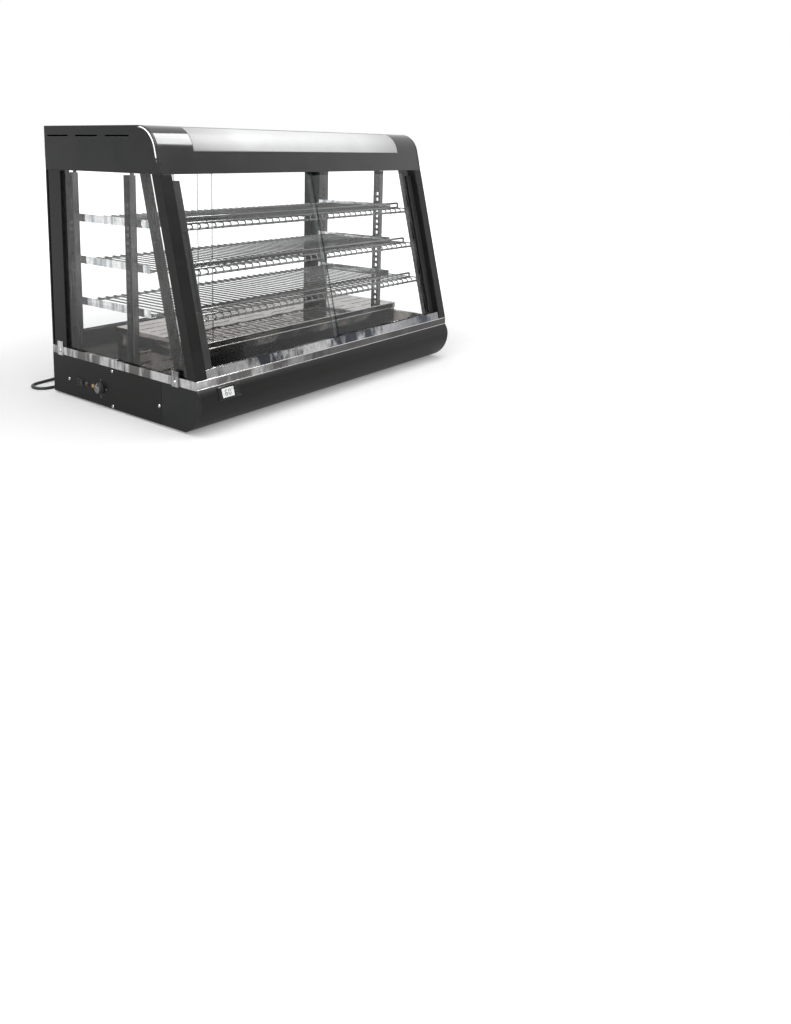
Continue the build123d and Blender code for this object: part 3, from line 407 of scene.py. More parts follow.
finish = {
    "coat": powderCoat(),
    "plastic": mouldedPlastic(),
    "enamel": glossEnamel("glossEnamel", 1.7),
    "rim": glossEnamel("brightRim", 2.4),
    "steelX": brushedSteel("brushedSteelAcross", "X"),
    "steelZ": brushedSteel("brushedSteelUp", "Z", 0.26),
    "deck": mirrorSteel("deckSteel", 0.95, (0.97, 1.0, 0.98)),
    "dark": mirrorSteel("darkSteel", 0.34, (1.0, 0.88, 0.82)),
    # These three carry painted dark reflections; the first two also carry painted shade on the front
    # face and at the right end.
    "polished": polishedSteel("polishedSteel", 1.1, 0.2, (9, 26, 4), front=0.9),
    "track": polishedSteel("trackSteel", 1.0, 0.1, (13, 16, 6), (0.85, 0.92, 1.1), right=0.7),
    "bars": polishedSteel("barSteel", 1.15, 0.4, (14, 44, 5), (0.9, 0.97, 1.05)),
    "chrome": mirrorSteel("chromeCap", 0.42, (1.0, 1.0, 1.0)),
    "shade": mirrorSteel("shadedSteel", 0.2, (0.92, 1.0, 0.95)),
    "wire": wirePlating(),
    "sideGlass": clearGlass("sideGlass", (1, 0, 0)),
    "frontGlass": clearGlass("frontGlass", (0, -sqrt(1 - case["lean"] ** 2), case["lean"])),
    "rearGlass": clearGlass("rearGlass", (0, 1, 0)),
    "sign": signFace(),
    # Plain ones: color, roughness, grain, then how metallic
    "zinc": plainFinish("zincSheet", (0.5, 0.51, 0.52), 0.42, 90, 1.0, spread=0.2),
    "rubber": plainFinish("rubber", (0.022, 0.022, 0.022), 0.75, 900),
    "sheath": plainFinish("cordSheath", (0.028, 0.029, 0.031), 0.5, 1300),
    "tube": plainFinish("tubeGlass", (0.85, 0.84, 0.8), 0.2, 200, spread=0.03),
    "heater": plainFinish("heaterSheath", (0.2, 0.17, 0.15), 0.5, 250, 1.0, spread=0.35),
    "band": plainFinish("tieBand", (0.05, 0.05, 0.055), 0.7, 1600, depth=0.0002),
    "print": plainFinish("panelPrint", (0.62, 0.62, 0.6), 0.5, 800),
    "blackGloss": plainFinish("glossPlastic", (0.015, 0.015, 0.016), 0.14, 300, depth=0.00002),
    "satin": plainFinish("satinPlastic", (0.03, 0.03, 0.031), 0.42, 1500),
    "silver": plainFinish("silverCap", (0.72, 0.72, 0.72), 0.22, 500, 1.0, spread=0.08),
    "amber": lensFinish("amberLens", (0.55, 0.27, 0.05), 0.12),
    "red": lensFinish("redLens", (0.09, 0.018, 0.008), 0.0),
    "window": plainFinish("meterWindow", (0.82, 0.84, 0.82), 0.16, 400, depth=0.00001, spread=0.03),
    "ink": plainFinish("meterInk", (0.015, 0.015, 0.018), 0.35, 900),
}
print("finishes made:", len(finish))


# Mesh helpers
def addObject(name, data):
    made = bpy.data.objects.new(name, data)
    collection.objects.link(made)
    return made


def addMesh(name, bm, material=None):
    mesh = bpy.data.meshes.new(name)
    bm.to_mesh(mesh)
    bm.free()
    if material:
        mesh.materials.append(material)
    return addObject(name, mesh)


def smooth(mesh, angle):
    mesh.shade_smooth()
    mesh.set_sharp_from_angle(angle=radians(angle))


def seat(made, body, stands):
    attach(made, body)
    if stands:
        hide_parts(*stands)


def meshPiece(name, bm, look, body, stands, bevel=0.0, angle=32):
    # stands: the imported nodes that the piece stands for. bevel in metres, angle in degrees.
    bmesh.ops.recalc_face_normals(bm, faces=bm.faces)
    made = addMesh(name, bm, finish[look])
    smooth(made.data, angle)
    if bevel:
        edge = made.modifiers.new("edge", "BEVEL")
        edge.width = bevel
        edge.segments = 2
        edge.limit_method = "ANGLE"
        edge.angle_limit = radians(angle)
        edge.harden_normals = True
    seat(made, body, stands)
    return made


bodyOf = {}
for body, members in frame["record"]["behaviour"]["bodies"].items():
    for member in members:
        bodyOf[member] = body


def dress(look, *names):
    for name in names:
        mesh = nodes[name].data
        mesh.materials.clear()
        mesh.materials.append(finish[look])


def roundEdges(look, width, *names):
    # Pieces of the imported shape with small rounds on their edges, width in mm
    for name in names:
        bm = bmesh.new()
        bm.from_mesh(nodes[name].data)
        bmesh.ops.remove_doubles(bm, verts=bm.verts, dist=1e-6)
        bmesh.ops.dissolve_limit(bm, angle_limit=radians(0.4), verts=bm.verts, edges=bm.edges)
        meshPiece(name + "_rounded", bm, look, bodyOf[name], [name], width * mm)


def ringFaces(bm, rings, caps=True):
    # Skin from ring to ring, capped at both ends, or led from the last ring back to the first
    made = [[bm.verts.new(point) for point in ring] for ring in rings]
    count = len(made[0])
    for one, two in zip(made, made[1:] if caps else made[1:] + made[:1]):
        for n in range(count):
            bm.faces.new((one[n], one[(n + 1) % count], two[(n + 1) % count], two[n]))
    if caps:
        bm.faces.new(made[0])
        bm.faces.new(made[-1])


def lathe(bm, profile, origin, axis, segments, ribs=None):
    # profile: (along, radius) in mm. ribs gives the share of the radius at an angle and a place.
    axis = Vector(axis).normalized()
    side = axis.orthogonal().normalized()
    other = axis.cross(side)
    rings = []
    for along, radius in profile:
        ring = []
        for n in range(segments):
            angle = 2 * pi * n / segments
            reach = radius * (ribs(angle, along) if ribs else 1)
            way = side * cos(angle) + other * sin(angle)
            ring.append(Vector(origin) + (axis * along + way * reach) * mm)
        rings.append(ring)
    ringFaces(bm, rings)


def prism(bm, outline, start, end):
    # outline: the points of one face, which is carried from start to end
    rings = [[point + shift for point in outline] for shift in (start, end)]
    ringFaces(bm, rings)


def roundedRect(wide, high, radius, steps=5):
    points = []
    for cx, cy, turn in ((1, 1, 0), (-1, 1, 90), (-1, -1, 180), (1, -1, 270)):
        for n in range(steps + 1):
            angle = radians(turn + 90 * n / steps)
            points.append((cx * (wide / 2 - radius) + radius * cos(angle),
                           cy * (high / 2 - radius) + radius * sin(angle)))
    return points


# Mains cord: one spline out of the gland, down to the table, round its loop and into the coil.
mains = {"thick": 7.0, "lift": 3.55, "coilAt": (-250.0, 318.0), "across": 11, "turns": 2.25,
         "pitch": 7.5, "climb": 0.5, "lead": 30.0, "perTurn": 16, "swell": 1.01}
table = mains["lift"]  # height of the cord's middle where it lies on the table
freeRoute = [
    (-345, 277.5, 26), (-345, 297.5, 26), (-351, 313.5, 19), (-365, 324.5, 11), (-388, 329.5, 5),
    (-415, 330, table), (-443, 327.5, table), (-457, 323.7, table), (-467.2, 313.5, table),
    (-471, 299.5, table), (-467.2, 285.5, table), (-457, 275.3, table), (-443, 271.5, table),
    (-405, 268, table), (-355, 266.5, table), (-296, 271.06, table),
]


def coilPoint(turns):
    # Inward along the table, up over half a turn, and outward again on top
    outer = mains["across"] * mains["thick"] / 2 + mains["turns"] * mains["pitch"] / 2
    middle = mains["turns"] + mains["climb"] / 2
    radius = (outer - mains["pitch"] * (middle - abs(turns - middle))) * mains["swell"]
    climb = min(max((turns - mains["turns"]) / mains["climb"], 0), 1)
    angle = 2 * pi * turns - pi / 2
    x, y = mains["coilAt"]
    height = mains["lift"] + mains["pitch"] * (3 * climb**2 - 2 * climb**3)
    return (x + radius * cos(angle), y + radius * sin(angle), height)


def layCord():
    total = 2 * mains["turns"] + mains["climb"]
    count = round(total * mains["perTurn"])
    points = list(freeRoute)
    points += [coilPoint(total * n / count) for n in range(count + 1)]
    last = points[-1]
    points.append((last[0] + mains["lead"], last[1], last[2]))
    data = bpy.data.curves.new("mainsCord", "CURVE")
    data.dimensions = "3D"
    data.bevel_depth = mains["thick"] / 2 * mm
    data.bevel_resolution = 5
    data.use_fill_caps = True
    data.resolution_u = 6
    spline = data.splines.new("NURBS")
    spline.points.add(len(points) - 1)
    for point, place in zip(spline.points, points):
        point.co = (*(part * mm for part in place), 1)
    spline.order_u = 3
    spline.use_endpoint_u = True
    data.materials.append(finish["sheath"])
    cord = addObject("mainsCord", data)
    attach(cord, "cabinet")
    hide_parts("power_cord", "cord_coil")
    return cord


# Sections of the plug from the cord on: along, width, height and corner radius
plugShape = {
    "sections": [(0, 9.0, 9.0, 4.4), (3, 9.6, 9.6, 4.7), (3.6, 8.4, 8.4, 4.1), (6, 8.8, 8.8, 4.3),
                 (6.6, 10.4, 10.4, 5.1), (9, 11, 11, 5.4), (9.6, 9.6, 9.6, 4.7), (12, 10.2, 10.2, 5.0),
                 (12.6, 12, 12, 5.9), (15, 12.8, 12.6, 6.1), (16, 12, 11.6, 5.7), (18, 16, 14, 6.5),
                 (22, 25, 18, 7.0), (28, 30, 20, 7.4), (40, 31, 20.4, 7.6), (46, 33, 21.4, 7.8),
                 (56, 33.6, 21.6, 7.8), (59, 33, 21, 7.4), (60, 31, 19.4, 6.6)],
    "pin": 2.4, "pinLength": 19.0, "pinAt": 59.5, "spread": 9.5,
}


def buildPlug():
    x, y = mains["coilAt"]
    outerY = y - (mains["across"] * mains["thick"] + mains["turns"] * mains["pitch"]) / 2
    start = vec(x + mains["lead"], outerY, mains["lift"] + mains["pitch"])
    bm = bmesh.new()
    rings = []
    for along, wide, high, radius in plugShape["sections"]:
        outline = roundedRect(wide, high, min(radius, high / 2 - 0.05, wide / 2 - 0.05), 6)
        rings.append([start + vec(along, y, z) for y, z in outline])
    ringFaces(bm, rings)
    body = meshPiece("plugBody", bm, "rubber", "cabinet", ["cord_plug"], angle=28)
    pins = bmesh.new()
    radius, length = plugShape["pin"], plugShape["pinLength"]
    profile = [(0, radius), (length - 1.6, radius), (length - 0.5, radius * 0.75),
               (length, radius * 0.35)]
    for side in (-1, 1):
        at = start + vec(plugShape["pinAt"], side * plugShape["spread"], 0)
        lathe(pins, profile, at, (1, 0, 0), 20)
    return body, meshPiece("plugPins", pins, "silver", "cabinet", ())


tie = {"thick": 1.1, "half": 4.0, "outerRadius": 5.0, "innerRadius": 4.0}


def buildTie():
    low, high = nodeBox("cord_tie")
    middle = (low + high) / 2
    wide, tall = (high.x - low.x) / mm, (high.z - low.z) / mm
    hole, half = 2 * tie["thick"], tie["half"]
    outer = roundedRect(wide, tall, tie["outerRadius"], 6)
    inner = roundedRect(wide - hole, tall - hole, tie["innerRadius"], 6)
    bm = bmesh.new()
    rings = [[middle + vec(x, y, z) for x, z in outline]
             for outline, y in ((outer, -half), (outer, half), (inner, half), (inner, -half))]
    ringFaces(bm, rings, caps=False)
    return meshPiece("coilTie", bm, "band", "cabinet", ["cord_tie"], bevel=0.0003)


cord = layCord()
plugBody, plugPins = buildPlug()
coilTie = buildTie()
[part * mm for part in freeRoute[0]]
mains["thick"] * mm
print("cord laid")

# Floor and world. The room is what steel and glass mirror, from the lowest to the highest way.
studio = {"floor": 0.8, "lift": 0.2, "near": 0.7, "far": 2.2, "fill": 0.5, "size": 30.0,
          "mirrored": 0.5, "backdrop": 0.95,
          "room": [(0.0, shade(0.8)), (0.49, shade(0.7)), (0.53, shade(0.12)),
                   (0.66, shade(0.1, (1, 1, 1.05))), (0.8, shade(0.9))]}


def buildFloor():
    f = Finish("floorPaper")
    path = f.node("ShaderNodeLightPath")
    rays = path.socket.node.outputs
    mirrored, through = Signal(f, rays["Is Glossy Ray"]), Signal(f, rays["Is Transmission Ray"])
    seen = (Signal(f, rays["Is Camera Ray"]) + mirrored + through).clamp()
    tone = f.mix(mirrored, shade(studio["floor"]), shade(studio["floor"] * studio["mirrored"]))
    paper = f.surface(Base_Color=tone, Roughness=0.9)
    reach = f.node("ShaderNodeVectorMath", {"operation": "LENGTH"},
                   {0: f.node("ShaderNodeTexCoord", output="Object")}, "Value")
    lift = reach.fade(studio["near"], studio["far"], studio["lift"], 1.0) * (1 - mirrored * 0.3)
    glow = f.node("ShaderNodeEmission", {}, {"Color": shade(1), "Strength": seen * lift})
    f.close(f.node("ShaderNodeAddShader", {}, {0: paper, 1: glow}))
    bm = bmesh.new()
    bmesh.ops.create_grid(bm, x_segments=1, y_segments=1, size=studio["size"])
    addMesh("floor", bm, f.material)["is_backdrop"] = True


def buildWorld():
    world = bpy.data.worlds.new("studio")
    scene.world = world
    world.use_nodes = True
    f = Finish("world", world.node_tree)
    path = f.node("ShaderNodeLightPath")
    rays = path.socket.node.outputs
    seen = (Signal(f, rays["Is Camera Ray"]) + Signal(f, rays["Is Transmission Ray"])).clamp()
    mirror = Signal(f, rays["Is Glossy Ray"])
    raw = f.node("ShaderNodeTexCoord", output="Generated")
    split = f.node("ShaderNodeSeparateXYZ", {}, {0: raw}, "Z")
    room = f.node("ShaderNodeValToRGB", {"stops": studio["room"]}, {0: split * 0.5 + 0.5})
    behind = f.node("ShaderNodeVectorMath", {"operation": "DOT_PRODUCT"},
                    {0: raw, 1: (sin(shot["yaw"]), cos(shot["yaw"]), 0)}, "Value")
    around = f.mix(behind.fade(-0.1, 0.35), room, shade(studio["backdrop"]))
    lit = f.mix(mirror, shade(studio["fill"]), around)
    color = f.mix(seen, lit, shade(1))
    background = f.node("ShaderNodeBackground", {}, {"Color": color, "Strength": 1.0})
    f.node("ShaderNodeOutputWorld", {}, {"Surface": background})


# Lamps. One with its long side set by along shows only in reflections, and the others never do.
lampBoxes = {
    "topBox": {"place": (-0.2, -0.4, 2.2), "target": (0, 0, 0.3), "size": (2.2, 1.6), "power": 30},
    "keyBox": {"place": (-2.4, -1.9, 1.5), "target": (0, 0, 0.3), "size": (1.4, 1.4), "power": 26},
    "fillBox": {"place": (2.2, -1.8, 1.3), "target": (0, 0, 0.3), "size": (1.2, 1.4), "power": 12},
    "bandBox": {"place": (1.04, -0.79, 2.0), "target": (-0.35, -0.15, 0.58), "size": (1.45, 0.5),
                "power": 22, "along": (0, -0.913, -0.408)},
    "seamBoxBack": {"place": (-1.26, 0.7, 1.94), "target": (-0.45, -0.12, 0.58), "size": (2.1, 0.5),
                    "power": 24, "along": (-0.59, -0.8, 0.14)},
    "seamBoxFront": {"place": (-1.98, -0.45, 1.57), "target": (-0.45, -0.12, 0.58), "size": (1.8, 0.6),
                     "power": 26, "along": (-0.3, -0.69, -0.66)},
}


def addLamp(name, place, target, size, power, along=None):
    data = bpy.data.lights.new(name, "AREA")
    data.shape = "RECTANGLE"
    data.size, data.size_y = size
    data.energy = power
    if along:
        data.cycles.max_bounces = 1  # more would put grain on the steel inside
    lamp = addObject(name, data)
    away = (Vector(place) - Vector(target)).normalized()
    side = Vector(along or (0, 0, 1)).cross(away).normalized()
    turn = Matrix((side.cross(away), side, away)) if along else Matrix((side, away.cross(side), away))
    lamp.matrix_world = Matrix.Translation(place) @ turn.transposed().to_4x4()
    lamp.visible_glossy = along is not None
    lamp.visible_diffuse = along is None


buildFloor()
buildWorld()
for name, box in lampBoxes.items():
    addLamp(name, **box)
scene.view_settings.view_transform = "Standard"
scene.cycles.transparent_max_bounces = 32
print("studio lit")

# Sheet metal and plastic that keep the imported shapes
roundEdges("coat", 0.8, "base_side_left", "base_side_right", "base_rear_panel", "canopy_rear_panel")
roundEdges("coat", 0.6, "base_front_panel")
roundEdges("plastic", 0.9, "corner_cap_left", "corner_cap_right")
roundEdges("plastic", 1.2, "canopy_end_left", "canopy_end_right")
roundEdges("enamel", 0.5, "canopy_shell")
roundEdges("sign", 0.6, "sign_panel")
roundEdges("coat", 1.0, "front_post_left", "front_post_right", "rear_post_left", "rear_post_right")
roundEdges("polished", 0.5, "steel_trim")
roundEdges("track", 0.3, "front_bottom_track")
roundEdges("shade", 0.3, "rear_bottom_track")
roundEdges("coat", 0.3, "front_top_track", "rear_top_track")
roundEdges("steelZ", 0.35, "shelf_uprights_left", "shelf_uprights_right")
roundEdges("bars", 0.35, "support_bars_left", "support_bars_right")
roundEdges("steelZ", 0.3, "slanted_strips")
roundEdges("dark", 0.7, "heater_cover", "heater_housing")
roundEdges("steelX", 0.3, "water_pan")
for place in ("front", "rear"):
    for side in ("left", "right"):
        roundEdges("satin", 0.5, f"{place}_door_{side}_edge")
dress("zinc", "base_pan")
dress("deck", "deck_plate")
dress("steelX", "canopy_ceiling")
dress("sideGlass", "side_glass_left", "side_glass_right")
dress("frontGlass", "front_door_left_glass", "front_door_right_glass")
dress("rearGlass", "rear_door_left_glass", "rear_door_right_glass")
dress("wire", "wire_shelf_upper", "wire_shelf_middle", "wire_shelf_lower")
dress("heater", "heating_element")
dress("tube", "sign_lamp")
dress("satin", "thermostat_body", "switch_housing")
print("panels dressed")


# Pressed seam along the bend and the slanted edge of each canopy end.
# The ridge's points are (inset from the edge, height over the face).
seam = {"bend": 55.0, "run": 29.0, "steps": 40, "ridge": ((1.8, 0.0), (3.6, 1.4), (5.2, 0.02))}


def buildSeam(side):
    low, high = nodeBox("canopy_end_" + side)
    tilt = asin(case["lean"])
    bend = seam["bend"] * mm
    middleZ = high.z - bend
    middleY = low.y + (middleZ - low.z) * sin(tilt) / cos(tilt) + bend / cos(tilt)
    arc = bend * (pi / 2 - tilt)
    total = arc + seam["run"] * mm
    rings = []
    for n in range(seam["steps"] + 1):
        share = n / seam["steps"]
        angle = pi / 2 + min(total * share, arc) / bend
        slide = max(0.0, total * share - arc)
        swell = min(1.0, 0.05 + 12 * min(share, 1 - share))  # the ridge rises and dies away softly
        ring = []
        for inset, rise in seam["ridge"]:
            reach = bend - inset * mm
            out = max(rise * swell, 0.01) * mm
            x = low.x - out if side == "left" else high.x + out
            y = middleY + reach * cos(angle) - slide * sin(tilt)
            ring.append(Vector((x, y, middleZ + reach * sin(angle) - slide * cos(tilt))))
        rings.append(ring)
    bm = bmesh.new()
    ringFaces(bm, rings)
    meshPiece("canopyRidge_" + side, bm, "rim", "cabinet", (), angle=20)


for side in ("left", "right"):
    buildSeam(side)


# Bright rolled edges along the front of the heater's cover and of the trim
hem = {"radius": 1.1, "tip": 0.4, "taper": 0.5, "sink": 0.7, "inset": 2.0}


def buildHems(name, node):
    low, high = nodeBox(node)
    length = (high.x - low.x) / mm - 2 * hem["inset"]
    radius, tip, taper, sink = hem["radius"], hem["tip"], hem["taper"], hem["sink"] * mm
    shape = [(0, tip), (taper, radius), (length - taper, radius), (length, tip)]
    bm = bmesh.new()
    for z in (high.z - sink, low.z + sink):
        lathe(bm, shape, (low.x + hem["inset"] * mm, low.y + sink, z), (1, 0, 0), 20)
    meshPiece(name, bm, "silver", "cabinet", (), angle=40)


buildHems("coverHems", "heater_cover")
buildHems("trimHems", "steel_trim")
print("seams and hems made")


# Screws with a cross recess, and the clips of the side glass
screwShape = {"radius": 3.6, "height": 1.8, "slot": 1.0, "reach": 2.1, "deep": 1.0}


def crossCutter(bm, at, out):
    side = out.orthogonal().normalized()
    other = out.cross(side)
    deep, reach, slot = screwShape["deep"], screwShape["reach"], screwShape["slot"] / 2
    outline = []
    for first, second in ((side, other), (other, -side), (-side, -other), (-other, side)):
        outline.append(first * reach + second * -slot)
        outline.append(first * reach + second * slot)
        outline.append(first * slot + second * slot)
    ring = [at + point * mm for point in outline]
    prism(bm, ring, out * (screwShape["height"] - deep) * mm, out * (screwShape["height"] + 1) * mm)


def buildScrews(name, places, stands=()):
    # places: (centre of the seat, outward way)
    heads, cuts = bmesh.new(), bmesh.new()
    radius, height = screwShape["radius"], screwShape["height"]
    profile = [(0, radius), (height * 0.3, radius), (height * 0.65, radius * 0.86),
               (height * 0.9, radius * 0.6), (height, radius * 0.25)]
    for at, out in places:
        lathe(heads, profile, at, out, 28)
        crossCutter(cuts, at, out)
    for bm in (heads, cuts):
        bmesh.ops.recalc_face_normals(bm, faces=bm.faces)
    cutter = addMesh(name + "Cut", cuts)
    made = addMesh(name, heads)
    carve = made.modifiers.new("cross", "BOOLEAN")
    carve.object = cutter
    carve.operation = "DIFFERENCE"
    carve.solver = "EXACT"
    graph = bpy.context.evaluated_depsgraph_get()
    carved = bpy.data.meshes.new_from_object(made.evaluated_get(graph))
    made.modifiers.clear()
    made.data = carved
    bpy.data.objects.remove(cutter)
    carved.materials.clear()
    carved.materials.append(finish["silver"])
    smooth(carved, 35)
    seat(made, "cabinet", stands)


# (distance behind the front, height) of the screws in each side panel
panelScrews = ((424, 42.0), (266, 86.8), (266, 9.3), (112.2, 42.0))


def screwPlaces():
    places = []
    for side in (-1, 1):
        for back, height in panelScrews:
            at = vec(side * case["halfWidth"], case["front"] + back, height)
            places.append((at, Vector((side, 0, 0))))
    return places


buildScrews("panelScrews", screwPlaces(), ["fasteners"])

# backs: (distance behind the front, half width of what the clip lies on over the trim)
clips = {"wide": 20.0, "thick": 2.0, "low": 92.0, "trimTop": 112.0, "top": 124.0, "headAt": 102.0,
         "chamfer": (0.8, 1.2), "backs": ((61.0, 448.5), (453.0, 450.0))}


def buildClips():
    low, top, trimTop = clips["low"], clips["top"], clips["trimTop"]
    half = clips["wide"] / 2
    base = case["halfWidth"]
    outer = base + clips["thick"]
    across, down = clips["chamfer"]
    bm = bmesh.new()
    heads = []
    for back, face in clips["backs"]:
        y = case["front"] + back
        outline = [(base, low), (outer, low), (outer, top - down), (outer - across, top), (face, top)]
        if face < base:
            outline += [(face, trimTop), (base, trimTop)]
        for side in (-1, 1):
            ring = [vec(side * x, y, z) for x, z in outline]
            prism(bm, ring, vec(0, -half, 0), vec(0, half, 0))
            heads.append((vec(side * outer, y, clips["headAt"]), Vector((side, 0, 0))))
    meshPiece("glassClips", bm, "polished", "cabinet", ["glass_clips"], bevel=0.0007)
    buildScrews("clipScrews", heads)


buildClips()
print("screws and clips made")


# Controls on the left side, all at one height
controlZ = 42.0
knob = {"at": (-451.0, 70.5, controlZ), "radius": 13.5, "length": 9.0, "flutes": 20,
        "fluteDepth": 0.045, "line": 1.8}


def buildKnob():
    at = vec(*knob["at"])
    radius, length = knob["radius"], knob["length"]
    bm = bmesh.new()

    def flute(angle, along):
        # Only between the skirt and the rounded end
        if along < 3.2 or along > length - 1.0:
            return 1.0
        return 1 - knob["fluteDepth"] * max(0.0, cos(angle * knob["flutes"])) ** 2

    profile = [(0, radius * 0.94), (0.4, radius), (2.6, radius), (3.3, radius * 0.93),
               (length - 2.0, radius * 0.88), (length - 0.8, radius * 0.84),
               (length - 0.2, radius * 0.76), (length, radius * 0.7)]
    lathe(bm, profile, at, (-1, 0, 0), 160, flute)
    meshPiece("knobGrip", bm, "satin", "knob", ["thermostat_knob"], angle=40)
    cap = bmesh.new()
    dome = [(length - 0.3, radius * 0.66), (length + 0.35, radius * 0.66),
            (length + 0.7, radius * 0.6), (length + 1.2, radius * 0.4), (length + 1.4, radius * 0.15)]
    lathe(cap, dome, at, (-1, 0, 0), 48)
    meshPiece("knobCap", cap, "chrome", "knob", (), angle=60)
    line = bmesh.new()
    half, low, high = knob["line"] / 2, radius * 0.68, radius * 0.86
    outline = [at + vec(-length + 0.2, y, z) for y, z in
               ((-half, low), (half, low), (half, high), (-half, high))]
    prism(line, outline, vec(0, 0, 0), vec(-0.9, 0, 0))
    meshPiece("knobLine", line, "print", "knob", (), bevel=0.0002)


def textPiece(name, words, size, place, right, up, body, thick=0.06):
    data = bpy.data.curves.new(name, "FONT")
    data.body = words
    data.size = size * mm
    data.align_x = "CENTER"
    data.align_y = "CENTER"
    data.extrude = thick * mm
    right, up = Vector(right).normalized(), Vector(up).normalized()
    turn = Matrix((right, up, right.cross(up))).transposed().to_4x4()
    raw = addObject(name + "Raw", data)
    bpy.context.view_layer.update()
    graph = bpy.context.evaluated_depsgraph_get()
    mesh = bpy.data.meshes.new_from_object(raw.evaluated_get(graph))
    bpy.data.objects.remove(raw)
    mesh.transform(Matrix.Translation(place) @ turn)
    mesh.materials.clear()
    mesh.materials.append(finish["print"])
    seat(addObject(name, mesh), body, ())


# Ticks every 10 degrees over three quarters of a turn, with a long one at each number
dial = {"inner": 15.2, "outer": 17.0, "short": 0.8, "bold": 0.28, "thin": 0.16, "ink": 0.06,
        "numbers": 19.6, "size": 3.4, "marks": ("0", "30", "60", "90"), "perMark": 9}


def buildDial():
    # Clockwise from the top, seen from the left
    at = vec(-case["halfWidth"] - 0.05, knob["at"][1], knob["at"][2])
    right, up = Vector((0, -1, 0)), Vector((0, 0, 1))
    inner, ink = dial["inner"], dial["ink"]
    bm = bmesh.new()
    for n in range((len(dial["marks"]) - 1) * dial["perMark"] + 1):
        angle = radians(90 * n / dial["perMark"])
        way = right * sin(angle) + up * cos(angle)
        side = right * cos(angle) - up * sin(angle)
        atNumber = n % dial["perMark"] == 0
        reach = dial["outer"] if atNumber else dial["outer"] - dial["short"]
        half = dial["bold"] if atNumber else dial["thin"]
        ring = [at + (way * r + side * s) * mm for r, s in
                ((inner, -half), (inner, half), (reach, half), (reach, -half))]
        prism(bm, ring, vec(ink, 0, 0), vec(-ink, 0, 0))
    meshPiece("dialTicks", bm, "print", "cabinet", ())
    for n, words in enumerate(dial["marks"]):
        angle = radians(90 * n)
        reach = dial["numbers"] + (0.9 if n == 1 else 0)  # the 30 is wide and stands to the side
        place = at + (right * sin(angle) + up * cos(angle)) * reach * mm
        textPiece(f"dialNumber{n}", words, dial["size"], place, right, up, "cabinet")


# Pilot lamps: their places along the side panel, and the profiles of rim and lens
pilots = {"places": {"amber": 97.0, "red": 120.5},
          "rim": [(0, 6.0), (0.7, 6.0), (1.3, 5.5), (1.5, 4.9), (1.3, 4.3), (0.2, 4.2)],
          "lens": [(-0.5, 4.1), (1.2, 4.1), (2.2, 3.7), (2.8, 2.7), (3.0, 1.0)]}


def buildPilotLamps():
    rims = bmesh.new()
    for look, y in pilots["places"].items():
        at = vec(-case["halfWidth"], y, controlZ)
        lathe(rims, pilots["rim"], at, (-1, 0, 0), 40)
        lens = bmesh.new()
        lathe(lens, pilots["lens"], at, (-1, 0, 0), 36)
        meshPiece(look + "Lens", lens, look, "cabinet", (), angle=60)
    meshPiece("lampRims", rims, "satin", "cabinet", ["pilot_lamps"])


# Rocker with a shallow hollow front: its rise from the middle to the ends and the power of that curve
rocker = {"at": (-448.5, 144.5, controlZ), "out": 3.0, "tilt": 7.0, "reach": 7.8, "middle": 0.75,
          "rise": 1.55, "curve": 1.6, "markSize": 3.6, "markAt": (("I", -5.0), ("O", 5.0))}


def rockerFace(y):
    return -rocker["middle"] - rocker["rise"] * (abs(y) / rocker["reach"]) ** rocker["curve"]


def buildRocker():
    # The rear end is pressed in at rest.
    low, high = nodeBox("switch_rocker")
    turn = Matrix.Rotation(radians(rocker["tilt"]), 4, "Z")
    at = vec(*rocker["at"])
    reach, curve = rocker["reach"], rocker["curve"]
    front = [reach * (step / 6 - 1) for step in range(13)]
    outline = [(rockerFace(y), y) for y in front]
    outline += [(4.0, reach * 0.8), (6.2, 0), (4.0, -reach * 0.8)]
    bm = bmesh.new()
    ring = [at + turn @ vec(x - rocker["out"], y, 0) for x, y in outline]
    half = (high.z - low.z) / 2 / mm
    prism(bm, ring, vec(0, 0, -half), vec(0, 0, half))
    meshPiece("rockerKey", bm, "blackGloss", "rocker", ["switch_rocker"],
              bevel=0.0003, angle=50)
    along = turn @ Vector((0, -1, 0))
    for words, y in rocker["markAt"]:
        # The marks lie along the slope of the key's face.
        slope = atan(rocker["rise"] * curve * (abs(y) / reach) ** (curve - 1) / reach)
        tilted = Matrix.Rotation(slope if y < 0 else -slope, 4, "Z") @ along
        place = at + turn @ vec(rockerFace(y) - 0.04 - rocker["out"], y, 0)
        textPiece("mark" + words, words, rocker["markSize"], place, tilted, (0, 0, 1), "rocker",
                  0.05)


buildKnob()
buildDial()
buildPilotLamps()
buildRocker()
print("controls made")


# Thermometer on the swelling front of the base
meter = {"x": -370.5, "z": 79.0, "wide": 61.0, "high": 27.0, "bezel": 3.0, "window": (32.0, 19.0),
         "shift": -4.0, "bulge": 10.0, "bulgeZ": 68.0, "drop": 26.0, "skin": 1.5}


def meterPlace():
    # Where the bezel lies on the bulge, and how far its flat back sinks in
    radius = (meter["bulge"] ** 2 + meter["drop"] ** 2) / (2 * meter["bulge"])
    rise = meter["z"] - meter["bulgeZ"]
    surface = case["front"] - meter["bulge"] + radius - sqrt(radius**2 - rise**2)
    half = meter["high"] / 2 - meter["skin"]
    sink = radius - sqrt(radius**2 - half**2)
    turn = Matrix.Rotation(-asin(rise / radius), 4, "X")
    return Matrix.Translation(vec(meter["x"], surface, meter["z"])) @ turn, sink


